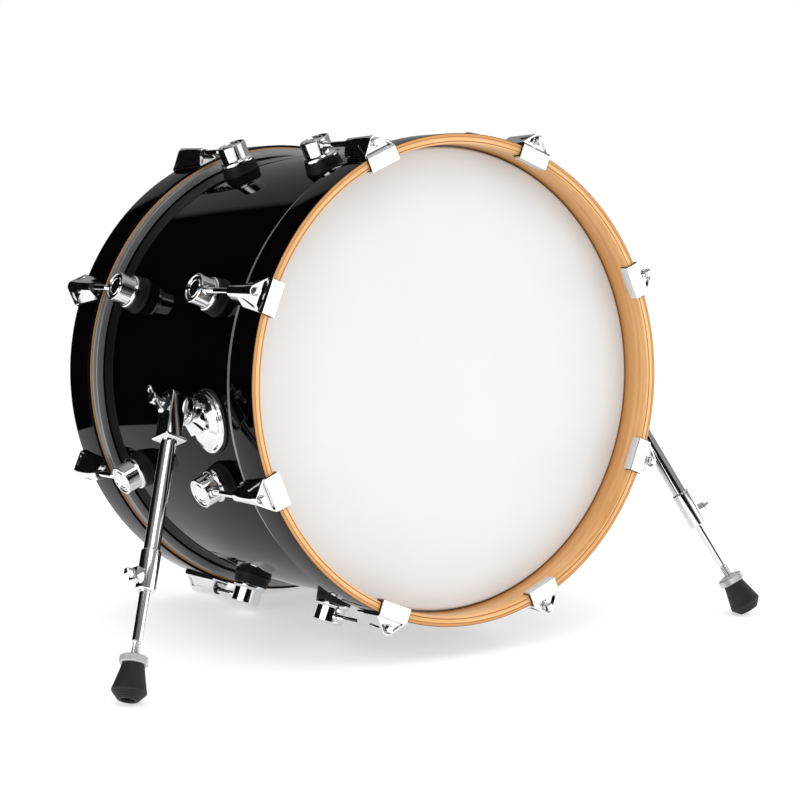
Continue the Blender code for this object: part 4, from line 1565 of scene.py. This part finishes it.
class BASSDRUM_OT_spur_legs(bpy.types.Operator):
    """Builds the legs: block, tube with sleeve, boss, inner rod, lock nut and rubber foot"""

    bl_idname = "bass_drum.spur_legs"
    bl_label = "Spur legs"

    def execute(self, context):
        chrome = finish("polished chrome", chrome_finish)
        zinc = finish("zinc plate", zinc_finish)
        rubber = finish("black rubber", rubber_finish)
        kinds = (
            ("leg_block", block_mesh(), chrome, "spur_chrome", "leg", ["spur_leg"]),
            ("leg_tube", tube_mesh(), chrome, "spur_chrome", "leg", []),
            ("leg_boss", boss_mesh(), chrome, "spur_chrome", "leg", []),
            ("sliding_rod", inner_rod_mesh(), chrome, "zinc_steel", "rod", ["inner_rod"]),
            ("knurled_nut", nut_mesh(), zinc, "zinc_steel", "nut", ["lock_nut"]),
            ("ribbed_foot", foot_mesh(), rubber, "foot_rubber", "foot", ["rubber_foot"]),
        )
        for side, where in LEGS.items():
            for kind, mesh, material, slot, body, nodes in kinds:
                stands_for = [f"{side}_{node}" for node in nodes]
                put(f"{side}_{kind}", mesh, material, slot, f"{side}_{body}", where, *stands_for)
        return {"FINISHED"}


class BASSDRUM_OT_spur_bolts(bpy.types.Operator):
    """Builds the clamping bolts, their collars and the key bolts"""

    bl_idname = "bass_drum.spur_bolts"
    bl_label = "Spur bolts"

    def execute(self, context):
        wing, washer, key = wing_bolt_mesh(), wing_washer_mesh(), key_bolt_mesh()
        chrome = finish("polished chrome", chrome_finish)
        rubber = finish("black rubber", rubber_finish)
        for side, where in LEGS.items():
            tips = [p for p in points_of(f"{side}_wing_bolt", where) if math.hypot(p.y, p.z) > spur().wing / 4]
            tip = sum((p if p.y > 0 else -p for p in tips), Vector())
            turn = where @ Matrix.Rotation(math.atan2(tip.z, tip.y), 4, "X")
            level = Matrix.Translation((0, 0, -spur().sleeve_end + 13 * MM))
            put(f"{side}_clamp_bolt", wing, chrome, "spur_chrome", f"{side}_wing", turn, f"{side}_wing_bolt")
            put(f"{side}_clamp_collar", washer, rubber, "spur_chrome", f"{side}_wing", turn)
            seat = where @ level
            put(f"{side}_rod_key_bolt", key, chrome, "spur_chrome", f"{side}_key", seat, f"{side}_key_bolt")
        return {"FINISHED"}


# --- Stage --------------------------------------------------------------------------------------------

CAMERA_SPOT = Vector((-1.4165, -2.1734, 0.1717))  # in the drum's frame
CAMERA_AZIMUTH = math.radians(-33.1)
CAMERA_RISE = math.radians(3.79)
CAMERA_ROLL = math.radians(-1.5)
CAMERA_LENS = 112.56
CAMERA_SHIFT = (0.0501, -0.0335)
WALL_EDGE = math.tan(math.radians(4.7))  # the wall starts this far to the right of straight behind


def floor_finish(graph, settings):
    place = graph.place()
    tone = graph.noise(place, 1.5, 2.0)
    pale = bpy.context.scene.bass_drum_stage.floor
    tint = tuple(0.985 * channel for channel in pale)
    return graph.principled(
        {
            "Base Color": graph.mixed(tone, tuple(pale), tint),
            "Roughness": 0.6,
            "Specular IOR Level": 0.2,
            # Painted light: the floor glows by itself to lighten the drum's shadow on it.
            "Emission Color": (1, 1, 1),
            "Emission Strength": bpy.context.scene.bass_drum_stage.floor_glow,
        }
    )


def make_floor():
    """A pale floor that ends behind the drum, where the lacquer starts to reflect the dark studio."""
    stage = bpy.context.scene.bass_drum_stage
    reach, turn = 5.0, Matrix.Rotation(stage.floor_turn, 3, "Z")
    pivot = Vector((-0.52, stage.floor_back, 0))
    corners = [(-reach, -reach, 0), (reach, -reach, 0), (reach, 0, 0), (-reach, 0, 0)]
    bm = bmesh.new()
    bm.faces.new([bm.verts.new(pivot + turn @ Vector(corner)) for corner in corners])
    floor = bpy.data.objects.new("floor", finished(bm, "floor"))
    floor.data.materials.append(finish("pale studio floor", floor_finish))
    bpy.context.scene.collection.objects.link(floor)


def make_world():
    """A white backdrop with even light, and for what the drum reflects a dark studio with a grey wall."""
    stage = bpy.context.scene.bass_drum_stage
    world = bpy.data.worlds.new("studio")
    bpy.context.scene.world = world
    graph = Graph(world)
    across, back, up = graph.parts(graph.node("ShaderNodeTexCoord", output="Generated"))
    to_right = (across - back * WALL_EDGE) * 25 + 0.5
    wall = graph.ramp(to_right, (0.0, 0.002), (1.0, stage.wall))
    reflected = wall + graph.ramp(up, (0.60, 0.0), (0.85, stage.ceiling))
    seen = graph.node("ShaderNodeLightPath", output="Is Camera Ray")
    mirrored = graph.node("ShaderNodeLightPath", output="Is Glossy Ray")
    glow = seen + (1 - seen) * (mirrored * reflected + (1 - mirrored) * stage.ambient)
    shade = graph.node("ShaderNodeBackground", {}, {"Color": (1, 1, 1), "Strength": glow})
    graph.node("ShaderNodeOutputWorld", {}, {"Surface": shade})


def add_light(name, kind, spot, aim, strength, size):
    """An area light or a sun that points at a spot."""
    data = bpy.data.lights.new(name, kind)
    data.energy = strength
    if kind == "AREA":
        data.shape = "RECTANGLE"
        data.size, data.size_y = size
    else:
        data.angle = size[0]
    light = bpy.data.objects.new(name, data)
    light.location = spot
    light.visible_glossy = kind == "AREA"
    light.rotation_mode = "QUATERNION"
    light.rotation_quaternion = (Vector(aim) - Vector(spot)).to_track_quat("-Z", "Y")
    bpy.context.scene.collection.objects.link(light)


def make_lights():
    stage = bpy.context.scene.bass_drum_stage
    middle = DRUM.translation
    add_light("key", "SUN", (0.3, -0.8, 3.0), (0, 0, 0), stage.sun, (math.radians(70), 0))
    add_light("front_right", "AREA", (1.9, -2.9, 0.9), middle, stage.panel, (2.2, 1.8))
    add_light("left", "AREA", (-3.0, -0.9, 1.1), middle, stage.panel * 0.5, (1.6, 1.4))
    add_light("overhead", "AREA", (-0.75, -1.5, 2.5), middle, stage.panel * 0.5, (1.5, 0.8))
    add_light("low_left", "AREA", (-2.2, -0.4, 0.45), (0, 0.1, 0.05), stage.panel * 0.6, (2.0, 0.7))
    add_light("low_right", "AREA", (2.2, -0.4, 0.45), (0, 0.1, 0.05), stage.panel * 0.6, (2.0, 0.7))


def make_camera():
    data = bpy.data.cameras.new("camera")
    data.sensor_width = 36
    data.lens = CAMERA_LENS
    data.shift_x, data.shift_y = CAMERA_SHIFT
    azimuth, rise = CAMERA_AZIMUTH, CAMERA_RISE
    back = Vector((math.sin(azimuth) * math.cos(rise), -math.cos(azimuth) * math.cos(rise), math.sin(rise)))
    right = Vector((math.cos(azimuth), math.sin(azimuth), 0))
    up = back.cross(right)
    cos, sin = math.cos(CAMERA_ROLL), math.sin(CAMERA_ROLL)
    across, upright = cos * right + sin * up, cos * up - sin * right
    camera = bpy.data.objects.new("camera", data)
    camera.matrix_world = DRUM @ axes(across, upright, back, CAMERA_SPOT)
    bpy.context.scene.collection.objects.link(camera)
    bpy.context.scene.camera = camera


class BASSDRUM_OT_stage(bpy.types.Operator):
    """Builds the floor, the lights and the camera"""

    bl_idname = "bass_drum.stage"
    bl_label = "Stage"

    def execute(self, context):
        make_floor()
        make_world()
        make_lights()
        make_camera()
        context.scene.view_settings.view_transform = "Standard"
        return {"FINISHED"}


# --- Add-on -------------------------------------------------------------------------------------------

SETTINGS = {
    "bass_drum_finish": FinishSettings,
    "bass_drum": DrumSettings,
    "bass_drum_lug": LugSettings,
    "bass_drum_claw": ClawSettings,
    "bass_drum_rod": RodSettings,
    "bass_drum_spur": SpurSettings,
    "bass_drum_stage": StageSettings,
}
OPERATORS = (
    BASSDRUM_OT_stage,
    BASSDRUM_OT_shell,
    BASSDRUM_OT_hoops,
    BASSDRUM_OT_heads,
    BASSDRUM_OT_lugs,
    BASSDRUM_OT_claws,
    BASSDRUM_OT_tension_rods,
    BASSDRUM_OT_spur_bases,
    BASSDRUM_OT_spur_legs,
    BASSDRUM_OT_spur_bolts,
)


class BASSDRUM_PT_panel(bpy.types.Panel):
    """Lists the pieces and their settings"""

    bl_idname = "BASSDRUM_PT_panel"
    bl_label = "Bass drum"
    bl_space_type = "VIEW_3D"
    bl_region_type = "UI"
    bl_category = "Bass drum"

    def draw(self, context):
        for operator in OPERATORS:
            self.layout.operator(operator.bl_idname)
        for name, group in SETTINGS.items():
            box = self.layout.box()
            box.label(text=group.__doc__)
            for field in group.__annotations__:
                box.prop(getattr(context.scene, name), field)


def register():
    for group in (*SETTINGS.values(), *OPERATORS, BASSDRUM_PT_panel):
        bpy.utils.register_class(group)
    for name, group in SETTINGS.items():
        setattr(bpy.types.Scene, name, PointerProperty(type=group))


def unregister():
    for name in SETTINGS:
        delattr(bpy.types.Scene, name)
    for group in (BASSDRUM_PT_panel, *OPERATORS, *SETTINGS.values()):
        bpy.utils.unregister_class(group)


def main():
    register()
    for operator in OPERATORS:
        group, name = operator.bl_idname.split(".")
        getattr(getattr(bpy.ops, group), name)()


if __name__ == "__main__":
    main()
